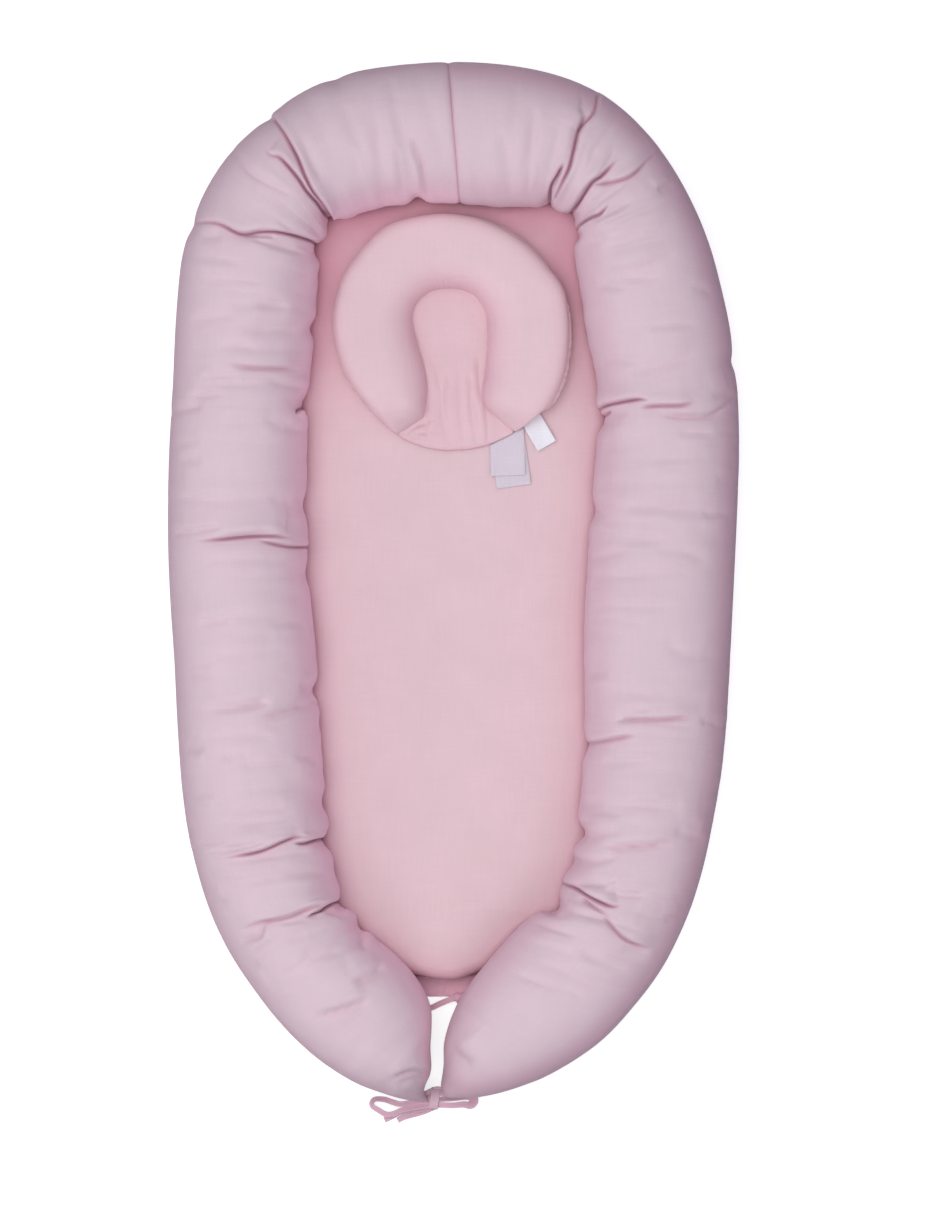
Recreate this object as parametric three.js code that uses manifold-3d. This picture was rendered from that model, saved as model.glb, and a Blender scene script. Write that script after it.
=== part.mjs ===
// Infant lounger: a soft nest for a baby. A stuffed bolster runs round the head end and down both sides,
// and its two ends are tied in a bow at the foot. Inside it lie a flat base panel, a removable mattress
// and a round head pillow with a keyhole dip. Millimetres, +Z up, +Y towards the head end, with the
// origin on the floor under the middle of the bolster's outline.
import * as THREE from "three";
import { mergeVertices } from "three/addons/utils/BufferGeometryUtils.js";
import Module from "manifold-3d";

const wasm = await Module();
wasm.setup();

// Whole lounger
const loungerLength = 898;
const loungerWidth = 494;
const seatGap = 0.3; // between pieces that lie against each other
const mergeDistance = 0.0001; // corners closer than this are one

// Bolster: two covers that meet at the head seam, and one stuffed roll through both
const bolsterWidth = 124;
const bolsterHeight = 112;
const coverWall = 2;
const floorSink = 1.5; // the round underside is pressed flat by this much
const tipWall = 14; // length of the gathered cloth that closes each end
const foldReach = 17; // from the bottom of a fold to its rim, along the bolster
const foldDepth = 8;
const stationSpacing = 46;
const coverSides = 16;
const fillingSides = 8;
const waistHeightShare = 0.48;
const topSquareness = 2.15;
const bottomSquareness = 2.6;
const deepestFoldAngle = 130; // degrees: 0 is the outer side, 90 the top and 180 the inner side
const foldSpreadAngle = 115;
const leftFoldShares = [0.155, 0.265, 0.4, 0.53, 0.665, 0.775, 0.86]; // of the way to the tip
const rightFoldShares = [0.14, 0.19, 0.36, 0.5, 0.645, 0.765, 0.865];
const cornerFoldsEndShare = 0.28; // folds before this share lie at the head's corners
const cornerFoldShare = 1.4; // and are deeper by this much

// Base panel, sewn under the bolster's inner edge, and the two halves of its foot hem
const baseThickness = 3;
const baseFootInset = 103; // from the lounger's foot end to the panel's foot edge
const hemDepth = 14;
const hemSlant = 4; // the halves meet on a slanted line
const hemMeetingX = -5;

// Mattress: cover halves round a core
const mattressThickness = 35;
const mattressClearance = 1.2; // to the bolster, so that it lifts out
const mattressCrown = 4;
const mattressEdge = 15; // radius of the rounded top edge
const mattressUnderEdge = 7;
const mattressSeamHeight = 12;
const mattressWall = 1.5;
const mattressFootInset = 105;
const mattressFootRound = 16;
const mattressSpineInset = 95; // from its head edge to the line that its crown rises to
const crownShares = [0.45, 0.85]; // of the way from the edge to that line

// Head pillow: a stuffed horseshoe on a round back panel, with a flat keyhole panel inside it
const pillowRadius = 103;
const pillowCentreX = -2;
const pillowHeadInset = 233; // from the lounger's head end to the pillow's centre
const pillowRise = 30;
const panelThickness = 1.8;
const ringWall = 1.5;
const ringSquareness = 2.3;
const ringSides = 10;
const ringSteps = 30;
const keyholeEase = 1.2;
const backPanelSides = 40;

// Labels sewn in at the pillow's edge
const labelThickness = 0.5;
const careLabelWidth = 30;
const careLabelLength = 34;
const careLabelBackExtra = 10; // the leaf underneath is longer
const careLabelAngle = -62; // degrees round the pillow, from +X
const careLabelHeading = -88; // degrees: the way that the leaf points
const careLabelBackHeading = -82;
const satinTabWidth = 18;
const satinTabLength = 27;
const satinTabAngle = -47.5;
const satinTabHeading = -60;

// Ties: flat sewn straps
const bowTieWidth = 5;
const bowLeadWidth = 7; // gathered, from the tips to the knot
const footTieWidth = 5;
const tieThickness = 1.4;
const tieChamferShare = 0.3; // of the thickness
const tieStep = 5;
const knotSides = 12;
const bowKnotSize = new THREE.Vector3(11, 15, 9.4);
const footKnotSize = new THREE.Vector3(11, 9, 7.4);
const tieLead = 3; // straight out of the bolster's end, before a strap turns to the knot

const halfLength = loungerLength / 2;
const spineHalfWidth = (loungerWidth - bolsterWidth) / 2;
const spineHalfLength = (loungerLength - bolsterWidth) / 2;
const mattressBase = baseThickness + seatGap;
const pillowBase = mattressBase + mattressThickness + seatGap;
const pillowCentre = new THREE.Vector3(pillowCentreX, halfLength - pillowHeadInset, 0);

// The bolster's middle line from the left tip over the head to the right tip. Each row has its place, as
// shares of the spine's half width and half length, and the shares of the full width and height there.
const spineShares = [
  [-0.12, -1.149, 0.065, 0.1],
  [-0.205, -1.093, 0.44, 0.5],
  [-0.275, -1.046, 0.67, 0.72],
  [-0.37, -0.99, 0.845, 0.86],
  [-0.61, -0.863, 0.95, 0.94],
  [-0.735, -0.794, 0.95, 0.97],
  [-0.83, -0.7, 0.96, 0.98],
  [-0.93, -0.47, 0.99, 1.0],
  [-0.987, -0.125, 0.98, 1.0],
  [-1.01, 0.23, 0.97, 1.0],
  [-0.973, 0.577, 0.965, 1.0],
  [-0.91, 0.78, 0.92, 1.0],
  [-0.83, 0.857, 0.9, 1.0],
  [-0.63, 0.945, 0.93, 1.0],
  [-0.44, 0.98, 0.98, 1.0],
  [0, 1.0, 1.0, 1.0],
  [0.43, 0.983, 0.94, 1.0],
  [0.587, 0.959, 0.9, 1.0],
  [0.773, 0.871, 0.86, 1.0],
  [0.876, 0.744, 0.93, 1.0],
  [0.962, 0.536, 1.0, 1.0],
  [1.0, 0.29, 1.0, 1.0],
  [0.962, -0.032, 1.03, 1.0],
  [0.938, -0.349, 0.98, 1.0],
  [0.868, -0.598, 0.925, 0.98],
  [0.684, -0.79, 0.98, 0.96],
  [0.545, -0.868, 1.03, 0.94],
  [0.27, -1.003, 0.86, 0.84],
  [0.143, -1.054, 0.645, 0.7],
  [0.051, -1.096, 0.405, 0.48],
  [-0.052, -1.142, 0.055, 0.1],
];

// The pillow's horseshoe from the left lobe over the top to the right lobe. Each row has the angle of its
// outer edge, in degrees from +X, its inner edge as shares of the radius, and the share of the full rise.
const horseshoeShares = [
  [246, -0.33, -0.86, 0.15],
  [240, -0.275, -0.79, 0.5],
  [228, -0.214, -0.68, 0.85],
  [208, -0.208, -0.44, 1.0],
  [184, -0.31, -0.08, 1.0],
  [155, -0.315, 0.16, 1.0],
  [122, -0.22, 0.31, 1.0],
  [90, -0.03, 0.36, 1.0],
  [58, 0.2, 0.3, 1.0],
  [26, 0.3, 0.13, 1.0],
  [-4, 0.3, -0.07, 1.0],
  [-28, 0.27, -0.44, 1.0],
  [-48, 0.28, -0.64, 0.85],
  [-59, 0.36, -0.755, 0.5],
  [-64, 0.415, -0.82, 0.15],
];

// Routes of the ties, laid by hand. Those of the bow start from the point midway between the bolster's
// tips, and those of the foot tie from the middle of the panel's foot edge.
const bowKnotPlace = [-1, -12.5, 5];
const bowLoopLeftRoute = [
  [-6.9, -12.6, 6.2],
  [-20.2, -13.9, 6.2],
  [-30.6, -15.2, 6.2],
  [-37.6, -13.4, 6.2],
  [-44.6, -11.1, 6.2],
  [-52.4, -10.8, 6.2],
  [-55.4, -13.4, 6.2],
  [-55, -16.9, 6.2],
  [-49.8, -20.4, 6.2],
  [-42.8, -24.2, 6.2],
  [-36.7, -23.7, 6.2],
  [-28.9, -20.4, 6.2],
  [-18.5, -18.2, 6.2],
  [-6.9, -16.4, 6.2],
];
const bowLoopRightRoute = [
  [4.9, -10.8, 6.2],
  [12.9, -10.2, 6.2],
  [21.6, -8.9, 6.2],
  [28.5, -7.8, 6.2],
  [33.7, -9.1, 6.2],
  [34.6, -13, 6.2],
  [30.3, -16.1, 6.2],
  [24.2, -15.5, 6.2],
  [14.6, -16.3, 6.2],
  [4.9, -16.6, 6.2],
];
const bowTailFrontRoute = [
  [-6.9, -19.2, 2.7],
  [-14.5, -19.9, 2.7],
  [-23.5, -20.3, 2.7],
  [-32.5, -23, 2.7],
  [-38.5, -26.3, 2.2],
  [-44.5, -29.2, 1.2],
];
const bowTailBackRoute = [
  [-3.6, -20.4, 1],
  [-9, -21.6, 1],
  [-15, -23.4, 1],
  [-22, -25.2, 1],
  [-28, -27, 1],
  [-33, -29.6, 1],
];
const footKnotPlace = [5, -19.4, 4];
const footTieLeftRoute = [
  [-33, -27.5, 1],
  [-27, -28.6, 1],
  [-20, -27.2, 1.2],
  [-12, -22.6, 2],
  [-5.5, -19.8, 3.2],
  [-0.8, -19.4, 3.8],
];
const footTieRightRoute = [
  [10.8, -19.4, 3.8],
  [15.5, -19.8, 2.8],
  [20, -20.4, 1.6],
  [24.5, -21, 1],
  [29, -21.4, 1],
];

const radians = THREE.MathUtils.degToRad;

// Triangles that close a ring, wound the same way as the ring
function capTriangles(points, ring) {
  const normal = new THREE.Vector3();
  ring.forEach((a, i) => normal.add(points[a].clone().cross(points[ring[(i + 1) % ring.length]])));
  const turn = new THREE.Quaternion().setFromUnitVectors(normal.normalize(), new THREE.Vector3(0, 0, 1));
  const flat = ring.map((a) => points[a].clone().applyQuaternion(turn));
  const contour = flat.map((p) => new THREE.Vector2(p.x, p.y));
  return THREE.ShapeUtils.triangulateShape(contour, []).map((triangle) => triangle.map((i) => ring[i]));
}

// A closed skin over rings of equal length, in order: from the first ring to the last with a cap on both,
// or, where looped, on round to the first ring again. A cup's rings run from the bottom of its hollow out
// over the rim to the bottom of its outside.
function loft(rings, looped = false) {
  const points = rings.flat();
  const count = rings[0].length;
  const indices = rings.map((ring, r) => ring.map((_, i) => r * count + i));
  const triangles = [];
  indices.forEach((from, r) => {
    if (r + 1 === indices.length && !looped) return;
    const to = indices[(r + 1) % indices.length];
    from.forEach((a, i) => {
      const j = (i + 1) % count;
      triangles.push([a, from[j], to[j]], [a, to[j], to[i]]);
    });
  });
  if (!looped) {
    triangles.push(...capTriangles(points, indices[0]).map(([a, b, c]) => [a, c, b]));
    triangles.push(...capTriangles(points, indices.at(-1)));
  }
  const volumes = triangles.map(([a, b, c]) => points[a].dot(points[b].clone().cross(points[c])));
  const volume = volumes.reduce((sum, part) => sum + part, 0);
  const facing = volume > 0 ? triangles : triangles.map(([a, b, c]) => [a, c, b]);
  return new THREE.BufferGeometry().setFromPoints(points).setIndex(facing.flat());
}

function cup(outerRings, innerRings) {
  return loft([...innerRings].reverse().concat(outerRings));
}

// A flat panel over an outline, from one height to another
function panel(outline, bottom, top) {
  return loft([bottom, top].map((height) => outline.map((p) => p.clone().setZ(height))));
}

function solidOf(geometry) {
  const merged = mergeVertices(geometry, mergeDistance);
  return new wasm.Manifold(
    new wasm.Mesh({
      numProp: 3,
      vertProperties: new Float32Array(merged.attributes.position.array),
      triVerts: new Uint32Array(merged.index.array),
    }),
  );
}

function joined(geometries) {
  const mesh = geometries.map(solidOf).reduce((sum, solid) => sum.add(solid)).getMesh();
  return new THREE.BufferGeometry()
    .setAttribute("position", new THREE.BufferAttribute(mesh.vertProperties, 3))
    .setIndex(new THREE.BufferAttribute(mesh.triVerts, 1));
}

// The bolster's middle line, and its width and height along it
const spine = new THREE.CatmullRomCurve3(
  spineShares.map(([x, y]) => new THREE.Vector3(x * spineHalfWidth, y * spineHalfLength, 0)),
);
const spans = new THREE.CatmullRomCurve3(
  spineShares.map((row) => new THREE.Vector3(row[2] * bolsterWidth, row[3] * bolsterHeight, 0)),
);
spine.arcLengthDivisions = 600;
const spineLength = spine.getLength();
const headShare = spine.getLengths().at(spine.arcLengthDivisions / 2) / spineLength;

// Left and right side: the folds, and the distance from the head seam to the tip
const leftSide = { direction: -1, length: headShare * spineLength, foldShares: leftFoldShares };
const rightSide = { direction: 1, length: (1 - headShare) * spineLength, foldShares: rightFoldShares };

// What the bolster measures at a distance from the head seam
function stationAt(side, distance) {
  const along = headShare + (side.direction * distance) / spineLength;
  const t = spine.getUtoTmapping(THREE.MathUtils.clamp(along, 0, 1));
  const tangent = spine.getTangent(t);
  const span = spans.getPoint(t);
  return {
    side,
    distance,
    middle: spine.getPoint(t),
    tangent: tangent.clone().multiplyScalar(side.direction),
    outward: new THREE.Vector3(-tangent.y, tangent.x, 0),
    halfSpan: span.x / 2,
    height: span.y,
  };
}

// The stations of a side: one at the bottom and at both rims of each fold, and enough between them
function stationsOf(side, end = side.length) {
  const folds = side.foldShares.map((share) => share * side.length);
  const marks = [0, ...folds.flatMap((at) => [at - foldReach, at, at + foldReach]), end];
  const distances = [0];
  marks.slice(1).forEach((mark, i) => {
    const parts = Math.max(1, Math.round((mark - marks[i]) / stationSpacing));
    for (let k = 1; k <= parts; k++) distances.push(marks[i] + ((mark - marks[i]) * k) / parts);
  });
  return distances.map((distance) => stationAt(side, distance));
}

// How deep a fold presses in at an angle round the section
function foldAt({ side, distance }, angle) {
  const away = Math.abs(angle - radians(deepestFoldAngle)) / radians(foldSpreadAngle);
  if (away >= 1) return 0;
  const depths = side.foldShares.map((share) => {
    const along = (distance - share * side.length) / foldReach;
    const depth = share < cornerFoldsEndShare ? foldDepth * cornerFoldShare : foldDepth;
    return depth * Math.max(0, 1 - along * along);
  });
  return Math.cos((away * Math.PI) / 2) * Math.max(...depths);
}

function signedPower(value, power) {
  return Math.sign(value) * Math.abs(value) ** power;
}

// The section across the bolster, inset from the outside of the cover: a rounded form, flat on the floor
function bolsterRing(station, sides, inset) {
  const waist = station.height * waistHeightShare;
  return Array.from({ length: sides }, (_, i) => {
    const angle = (2 * Math.PI * i) / sides;
    const upper = Math.sin(angle) > 0;
    const squareness = upper ? topSquareness : bottomSquareness;
    const fold = inset + foldAt(station, angle);
    const reach = Math.max(station.halfSpan - fold, station.halfSpan / 4);
    const above = Math.max(station.height - waist - fold, waist / 4);
    const rise = upper ? above : waist + floorSink - inset;
    const height = waist + rise * signedPower(Math.sin(angle), 2 / squareness);
    return station.middle
      .clone()
      .addScaledVector(station.outward, reach * signedPower(Math.cos(angle), 2 / squareness))
      .setZ(Math.max(height, Math.min(inset, waist)));
  });
}

// The rings of a side that lie inset from the outside of the cover and end short of the tip
function bolsterRings(side, sides, inset, shortOfTip) {
  return stationsOf(side, side.length - shortOfTip).map((station) => bolsterRing(station, sides, inset));
}

function bolsterCover(side) {
  const outer = bolsterRings(side, coverSides, 0, 0);
  const inner = bolsterRings(side, coverSides, coverWall, tipWall);
  const seam = stationAt(side, 0).tangent.multiplyScalar(seatGap / 2);
  [outer[0], inner[0]].forEach((ring) => ring.forEach((p) => p.add(seam)));
  return cup(outer, inner);
}

function bolsterFilling() {
  const [left, right] = [leftSide, rightSide].map((side) =>
    bolsterRings(side, fillingSides, coverWall + seatGap, tipWall + seatGap),
  );
  return loft([...left.reverse(), ...right.slice(1)]);
}

// A line inside the bolster, at a reach from its middle that depends on the station, from the head seam
// towards the tip as far as a given Y
function innerLine(side, reachOf, endY) {
  const line = stationsOf(side).map((station) =>
    station.middle.clone().addScaledVector(station.outward, -reachOf(station)),
  );
  return cutLine(line, Infinity, endY);
}

// The stretch of a line that runs towards the foot, between two values of Y
function cutLine(line, startY, endY) {
  const kept = line.filter((p) => p.y < startY && p.y > endY);
  const crossing = (y) => {
    const next = line.findIndex((p) => p.y <= y);
    const [from, to] = [line[next - 1], line[next]];
    return from.clone().lerp(to, (from.y - y) / (from.y - to.y));
  };
  const start = startY === Infinity ? [] : [crossing(startY)];
  return [...start, ...kept, crossing(endY)];
}

// How far from the section's middle a sheet of a given height can reach in under the bolster
function underReach(height) {
  return (station) => {
    const waist = station.height * waistHeightShare;
    const level = (waist - height - seatGap) / (waist + floorSink);
    return station.halfSpan * (1 - level ** bottomSquareness) ** (1 / bottomSquareness);
  };
}

function basePanel() {
  const footY = baseFootInset - halfLength;
  const reachOf = underReach(baseThickness);
  const [left, right] = [leftSide, rightSide].map((side) => innerLine(side, reachOf, footY));
  return panel([...left, ...right.slice(1).reverse()], 0, baseThickness);
}

function footHem(side) {
  const startY = baseFootInset - halfLength - seatGap;
  const endY = startY - hemDepth;
  const line = cutLine(innerLine(side, underReach(baseThickness), endY - hemDepth), startY, endY);
  const meeting = [
    [endY, hemMeetingX - hemSlant],
    [startY, hemMeetingX],
  ].map(([y, x]) => new THREE.Vector3(x + (side.direction * seatGap) / 2, y, 0));
  return panel([...line, ...meeting], 0, baseThickness);
}

function mattressReach(station) {
  return station.halfSpan + mattressClearance;
}

// The mattress's outline, with the nearest point of the line that its crown rises to for each point
function mattressOutline() {
  const footY = mattressFootInset - halfLength;
  const roundY = footY + mattressFootRound;
  const [left, right] = [leftSide, rightSide].map((side) => innerLine(side, mattressReach, roundY));
  const corners = [leftSide, rightSide].map((side) => innerLine(side, mattressReach, footY).at(-1));
  const foot = corners[0].clone().lerp(corners[1], 0.5);
  const leftRound = new THREE.QuadraticBezierCurve3(left.at(-1), corners[0], foot).getPoints(4);
  const rightRound = new THREE.QuadraticBezierCurve3(foot, corners[1], right.at(-1)).getPoints(4);
  const round = [...leftRound, ...rightRound.slice(1, -1)];
  const outline = [...left.slice(0, -1), ...round, ...right.slice(1).reverse()];
  const headY = left[0].y - mattressSpineInset;
  const towards = outline.map((p) => {
    const y = THREE.MathUtils.clamp(p.y, roundY + mattressEdge, headY);
    return new THREE.Vector3(foot.x, y, 0);
  });
  return { outline, towards };
}

const mattress = mattressOutline();

function mattressRing(inset, share, height) {
  return mattress.outline.map((p, i) => {
    const towards = mattress.towards[i];
    const edge = p.clone().addScaledVector(towards.clone().sub(p).normalize(), inset);
    return edge.lerp(towards, share).setZ(mattressBase + height);
  });
}

// Rings from the edge seam up over the crown, inset from the outside of the cover
function mattressTopRings(inset) {
  const shoulder = mattressThickness - mattressCrown;
  const rings = [0, 1, 2, 3].map((k) => {
    const angle = (k * Math.PI) / 6;
    const edge = mattressEdge * (1 - Math.cos(angle));
    return mattressRing(inset + edge, 0, shoulder - mattressEdge * (1 - Math.sin(angle)) - inset);
  });
  const crown = crownShares.map((share) => {
    const rise = mattressCrown * Math.sin((share * Math.PI) / 2);
    return mattressRing(inset + mattressEdge, share, shoulder + rise - inset);
  });
  return [mattressRing(inset, 0, mattressSeamHeight + seatGap / 2), ...rings, ...crown];
}

// Rings from the edge seam down to the flat underside
function mattressBottomRings(inset) {
  return [
    mattressRing(inset, 0, mattressSeamHeight - seatGap / 2),
    mattressRing(inset + mattressUnderEdge / 4, 0, mattressSeamHeight / 3),
    mattressRing(inset + mattressUnderEdge, 0, inset),
  ];
}

function mattressCore() {
  const inset = mattressWall + seatGap;
  return loft([...mattressBottomRings(inset).slice(1).reverse(), ...mattressTopRings(inset)]);
}

// The pillow's horseshoe: the outer and inner edge and the rise at any share of its length
const horseshoeCurves = [
  ([angle]) => new THREE.Vector3(Math.cos(radians(angle)), Math.sin(radians(angle)), 0),
  ([, x, y]) => new THREE.Vector3(x, y, 0),
  (row) => new THREE.Vector3(row[3], 0, 0),
].map((pointOf) => new THREE.CatmullRomCurve3(horseshoeShares.map(pointOf)));

// An arch across the horseshoe, standing on the back panel, inset from the outside of the cover
function horseshoeArch(share, inset) {
  const [outer, inner, rise] = horseshoeCurves.map((curve) => curve.getPoint(share));
  [outer, inner].forEach((p) => p.multiplyScalar(pillowRadius));
  const middle = outer.clone().lerp(inner, 0.5);
  const across = outer.clone().sub(middle);
  const halfSpan = across.length();
  across.setLength(Math.max(halfSpan - inset, halfSpan / 5));
  const height = pillowRise * rise.x;
  return Array.from({ length: ringSides + 1 }, (_, i) => {
    const angle = (Math.PI * i) / ringSides;
    return middle
      .clone()
      .addScaledVector(across, signedPower(Math.cos(angle), 2 / ringSquareness))
      .setZ(Math.max(height - inset, height / 4) * Math.max(Math.sin(angle), 0) ** (2 / ringSquareness));
  });
}

function horseshoeCover() {
  const rings = Array.from({ length: ringSteps + 1 }, (_, i) => {
    const share = i / ringSteps;
    return [...horseshoeArch(share, 0), ...horseshoeArch(share, ringWall).reverse()];
  });
  return loft(rings);
}

function horseshoeFilling() {
  const inset = ringWall + seatGap;
  return loft(Array.from({ length: ringSteps + 1 }, (_, i) => horseshoeArch(i / ringSteps, inset)));
}

function backPanel() {
  const outline = Array.from({ length: backPanelSides }, (_, i) => {
    const angle = (2 * Math.PI * i) / backPanelSides;
    return new THREE.Vector3(Math.cos(angle), Math.sin(angle), 0).multiplyScalar(pillowRadius);
  });
  return panel(outline, 0, panelThickness);
}

// The keyhole panel fills the horseshoe's inside, and its neck ends at the pillow's edge
function keyholePanel() {
  const inner = horseshoeShares.map(([, x, y]) => new THREE.Vector3(x, y, 0).multiplyScalar(pillowRadius));
  const neckEnds = [inner[0], inner.at(-1)].map((p) => p.clone().setLength(pillowRadius - keyholeEase));
  const outline = inner.map((p, i) => {
    const before = inner[Math.max(i - 1, 0)];
    const after = inner[Math.min(i + 1, inner.length - 1)];
    const side = after.clone().sub(before).normalize();
    return p.clone().add(new THREE.Vector3(side.y, -side.x, 0).multiplyScalar(keyholeEase));
  });
  neckEnds.forEach((p, i) => p.setX(outline.at(-i).x));
  return panel([...outline, neckEnds[1], neckEnds[0]], 0, panelThickness);
}

// A leaf of cloth whose sewn edge lies on the X axis and which points away from it, towards a heading
// that is measured from -Y
function labelLeaf(width, length, turn) {
  const heading = new THREE.Vector3(0, -1, 0).applyAxisAngle(new THREE.Vector3(0, 0, 1), turn);
  const side = new THREE.Vector3(heading.y, -heading.x, 0);
  const corners = [-1, 1].map((way) => {
    const end = heading.clone().multiplyScalar(length).addScaledVector(side, (way * width) / 2);
    const root = end.clone().addScaledVector(heading, -end.y / heading.y);
    return [root, end];
  });
  return panel([corners[0][0], corners[0][1], corners[1][1], corners[1][0]], 0, labelThickness);
}

// A flat strap along a route. Its flat side lies down, or stands where it runs on edge.
function strap(route, width, onEdge = false) {
  const curve = new THREE.CatmullRomCurve3(route.map((p) => new THREE.Vector3(...p)), false, "centripetal");
  const steps = Math.max(route.length, Math.round(curve.getLength() / tieStep));
  const [halfWide, halfHigh] = onEdge ? [tieThickness / 2, width / 2] : [width / 2, tieThickness / 2];
  const cut = tieThickness * tieChamferShare;
  const section = [
    [halfWide, halfHigh - cut],
    [halfWide - cut, halfHigh],
    [cut - halfWide, halfHigh],
    [-halfWide, halfHigh - cut],
    [-halfWide, cut - halfHigh],
    [cut - halfWide, -halfHigh],
    [halfWide - cut, -halfHigh],
    [halfWide, cut - halfHigh],
  ];
  const rings = Array.from({ length: steps + 1 }, (_, i) => {
    const centre = curve.getPointAt(i / steps);
    const tangent = curve.getTangentAt(i / steps);
    const side = new THREE.Vector3(tangent.y, -tangent.x, 0).normalize();
    const up = side.clone().cross(tangent);
    return section.map(([s, u]) => centre.clone().addScaledVector(side, s).addScaledVector(up, u));
  });
  return loft(rings);
}

// A tied knot: a short barrel of cloth, drawn in at both ends
function knot(place, size) {
  const rings = [-1, -0.72, 0, 0.72, 1].map((share) => {
    const girth = Math.sqrt(1 - 0.62 * share * share);
    return Array.from({ length: knotSides }, (_, i) => {
      const angle = (2 * Math.PI * i) / knotSides;
      const round = new THREE.Vector3(share, girth * Math.cos(angle), girth * Math.sin(angle));
      return round.multiply(size).multiplyScalar(0.5).add(new THREE.Vector3(...place));
    });
  });
  return loft(rings);
}

// Assembly
const lounger = new THREE.Group();
lounger.name = "infant_lounger";

function material(colour, roughness) {
  return new THREE.MeshStandardMaterial({ color: colour, roughness, metalness: 0 });
}

const cottons = {
  bolster: material(0xd8bfcd, 0.9),
  mattress: material(0xe0c4cd, 0.9),
  filling: material(0xf2f0ee, 1),
  tie: material(0xc9a2b4, 0.85),
  label: material(0xe9e4ea, 0.7),
  satin: material(0xeceaf4, 0.4),
};

function add(parent, name, geometry, cloth) {
  const mesh = new THREE.Mesh(geometry, cottons[cloth]);
  mesh.name = name;
  parent.add(mesh);
  return mesh;
}

function addNest() {
  add(lounger, "bolster_cover_left", bolsterCover(leftSide), "bolster");
  add(lounger, "bolster_cover_right", bolsterCover(rightSide), "bolster");
  add(lounger, "bolster_filling", bolsterFilling(), "filling");
  add(lounger, "base_panel", basePanel(), "bolster");
  add(lounger, "foot_hem_left", footHem(leftSide), "bolster");
  add(lounger, "foot_hem_right", footHem(rightSide), "bolster");
}

function addMattress() {
  const group = new THREE.Group();
  lounger.add(group);
  const halves = [
    ["mattress_cover_top", mattressTopRings],
    ["mattress_cover_bottom", mattressBottomRings],
  ];
  halves.forEach(([name, rings]) => add(group, name, cup(rings(0), rings(mattressWall)), "mattress"));
  add(group, "mattress_core", mattressCore(), "filling");
}

function addPillow() {
  const group = new THREE.Group();
  group.position.copy(pillowCentre).setZ(pillowBase);
  lounger.add(group);
  add(group, "pillow_back_panel", backPanel(), "mattress");
  const onPanel = panelThickness + seatGap;
  add(group, "pillow_horseshoe_cover", horseshoeCover(), "mattress").position.z = onPanel;
  add(group, "pillow_filling", horseshoeFilling(), "filling").position.z = onPanel;
  add(group, "pillow_keyhole_panel", keyholePanel(), "mattress").position.z = onPanel;
  const labels = [
    ["care_label_back", careLabelBackHeading, careLabelLength + careLabelBackExtra, 0],
    ["care_label_front", careLabelHeading, careLabelLength, labelThickness + seatGap],
  ];
  for (const [name, heading, length, height] of labels) {
    const leaf = labelLeaf(careLabelWidth, length, radians(heading - careLabelAngle));
    addAtPillowEdge(group, careLabelAngle, add(group, name, leaf, "label"), height);
  }
  const tab = labelLeaf(satinTabWidth, satinTabLength, radians(satinTabHeading - satinTabAngle));
  addAtPillowEdge(group, satinTabAngle, add(group, "satin_tab", tab, "satin"), 0);
}

function addAtPillowEdge(group, angle, mesh, height) {
  const reach = pillowRadius + seatGap;
  mesh.position.set(reach * Math.cos(radians(angle)), reach * Math.sin(radians(angle)), height);
  mesh.rotation.z = radians(angle) + Math.PI / 2;
}

// The bow at the tips: its knot holds a strap from each tip
function addBow() {
  const tips = [leftSide, rightSide].map((side) => stationAt(side, side.length));
  const group = new THREE.Group();
  group.position.copy(tips[0].middle).lerp(tips[1].middle, 0.5);
  lounger.add(group);
  const leads = tips.map(({ side, middle, tangent, height }) => {
    const start = middle.clone().sub(group.position).setZ(height / 2);
    const points = [seatGap, tieLead].map((reach) => start.clone().addScaledVector(tangent, reach).toArray());
    const [x, y, z] = bowKnotPlace;
    return strap([...points, [x + (side.direction * bowLeadWidth) / 4, y, z]], bowLeadWidth);
  });
  add(group, "bow_knot", joined([knot(bowKnotPlace, bowKnotSize), ...leads]), "tie");
  add(group, "bow_loop_left", strap(bowLoopLeftRoute, bowTieWidth, true), "tie");
  add(group, "bow_loop_right", strap(bowLoopRightRoute, bowTieWidth, true), "tie");
  add(group, "bow_tail_front", strap(bowTailFrontRoute, bowTieWidth), "tie");
  add(group, "bow_tail_back", strap(bowTailBackRoute, bowTieWidth), "tie");
}

function addFootTie() {
  const group = new THREE.Group();
  group.position.set(0, baseFootInset - halfLength, 0);
  lounger.add(group);
  add(group, "foot_tie_knot", knot(footKnotPlace, footKnotSize), "tie");
  add(group, "foot_tie_left", strap(footTieLeftRoute, footTieWidth), "tie");
  add(group, "foot_tie_right", strap(footTieRightRoute, footTieWidth), "tie");
}

addNest();
addMattress();
addPillow();
addBow();
addFootTie();

export default lounger;
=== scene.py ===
"""Infant lounger: a soft nest with a stuffed bolster, a mattress and a round head pillow.

Lengths are millimetres in the frame of the CAD part until a mesh is made, which is in metres. The plan
outlines and the folds are read from the photograph, as pixels that plan() turns into millimetres.
"""

import math

import bmesh
import bpy
import numpy as np
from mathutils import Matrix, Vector, noise


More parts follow.
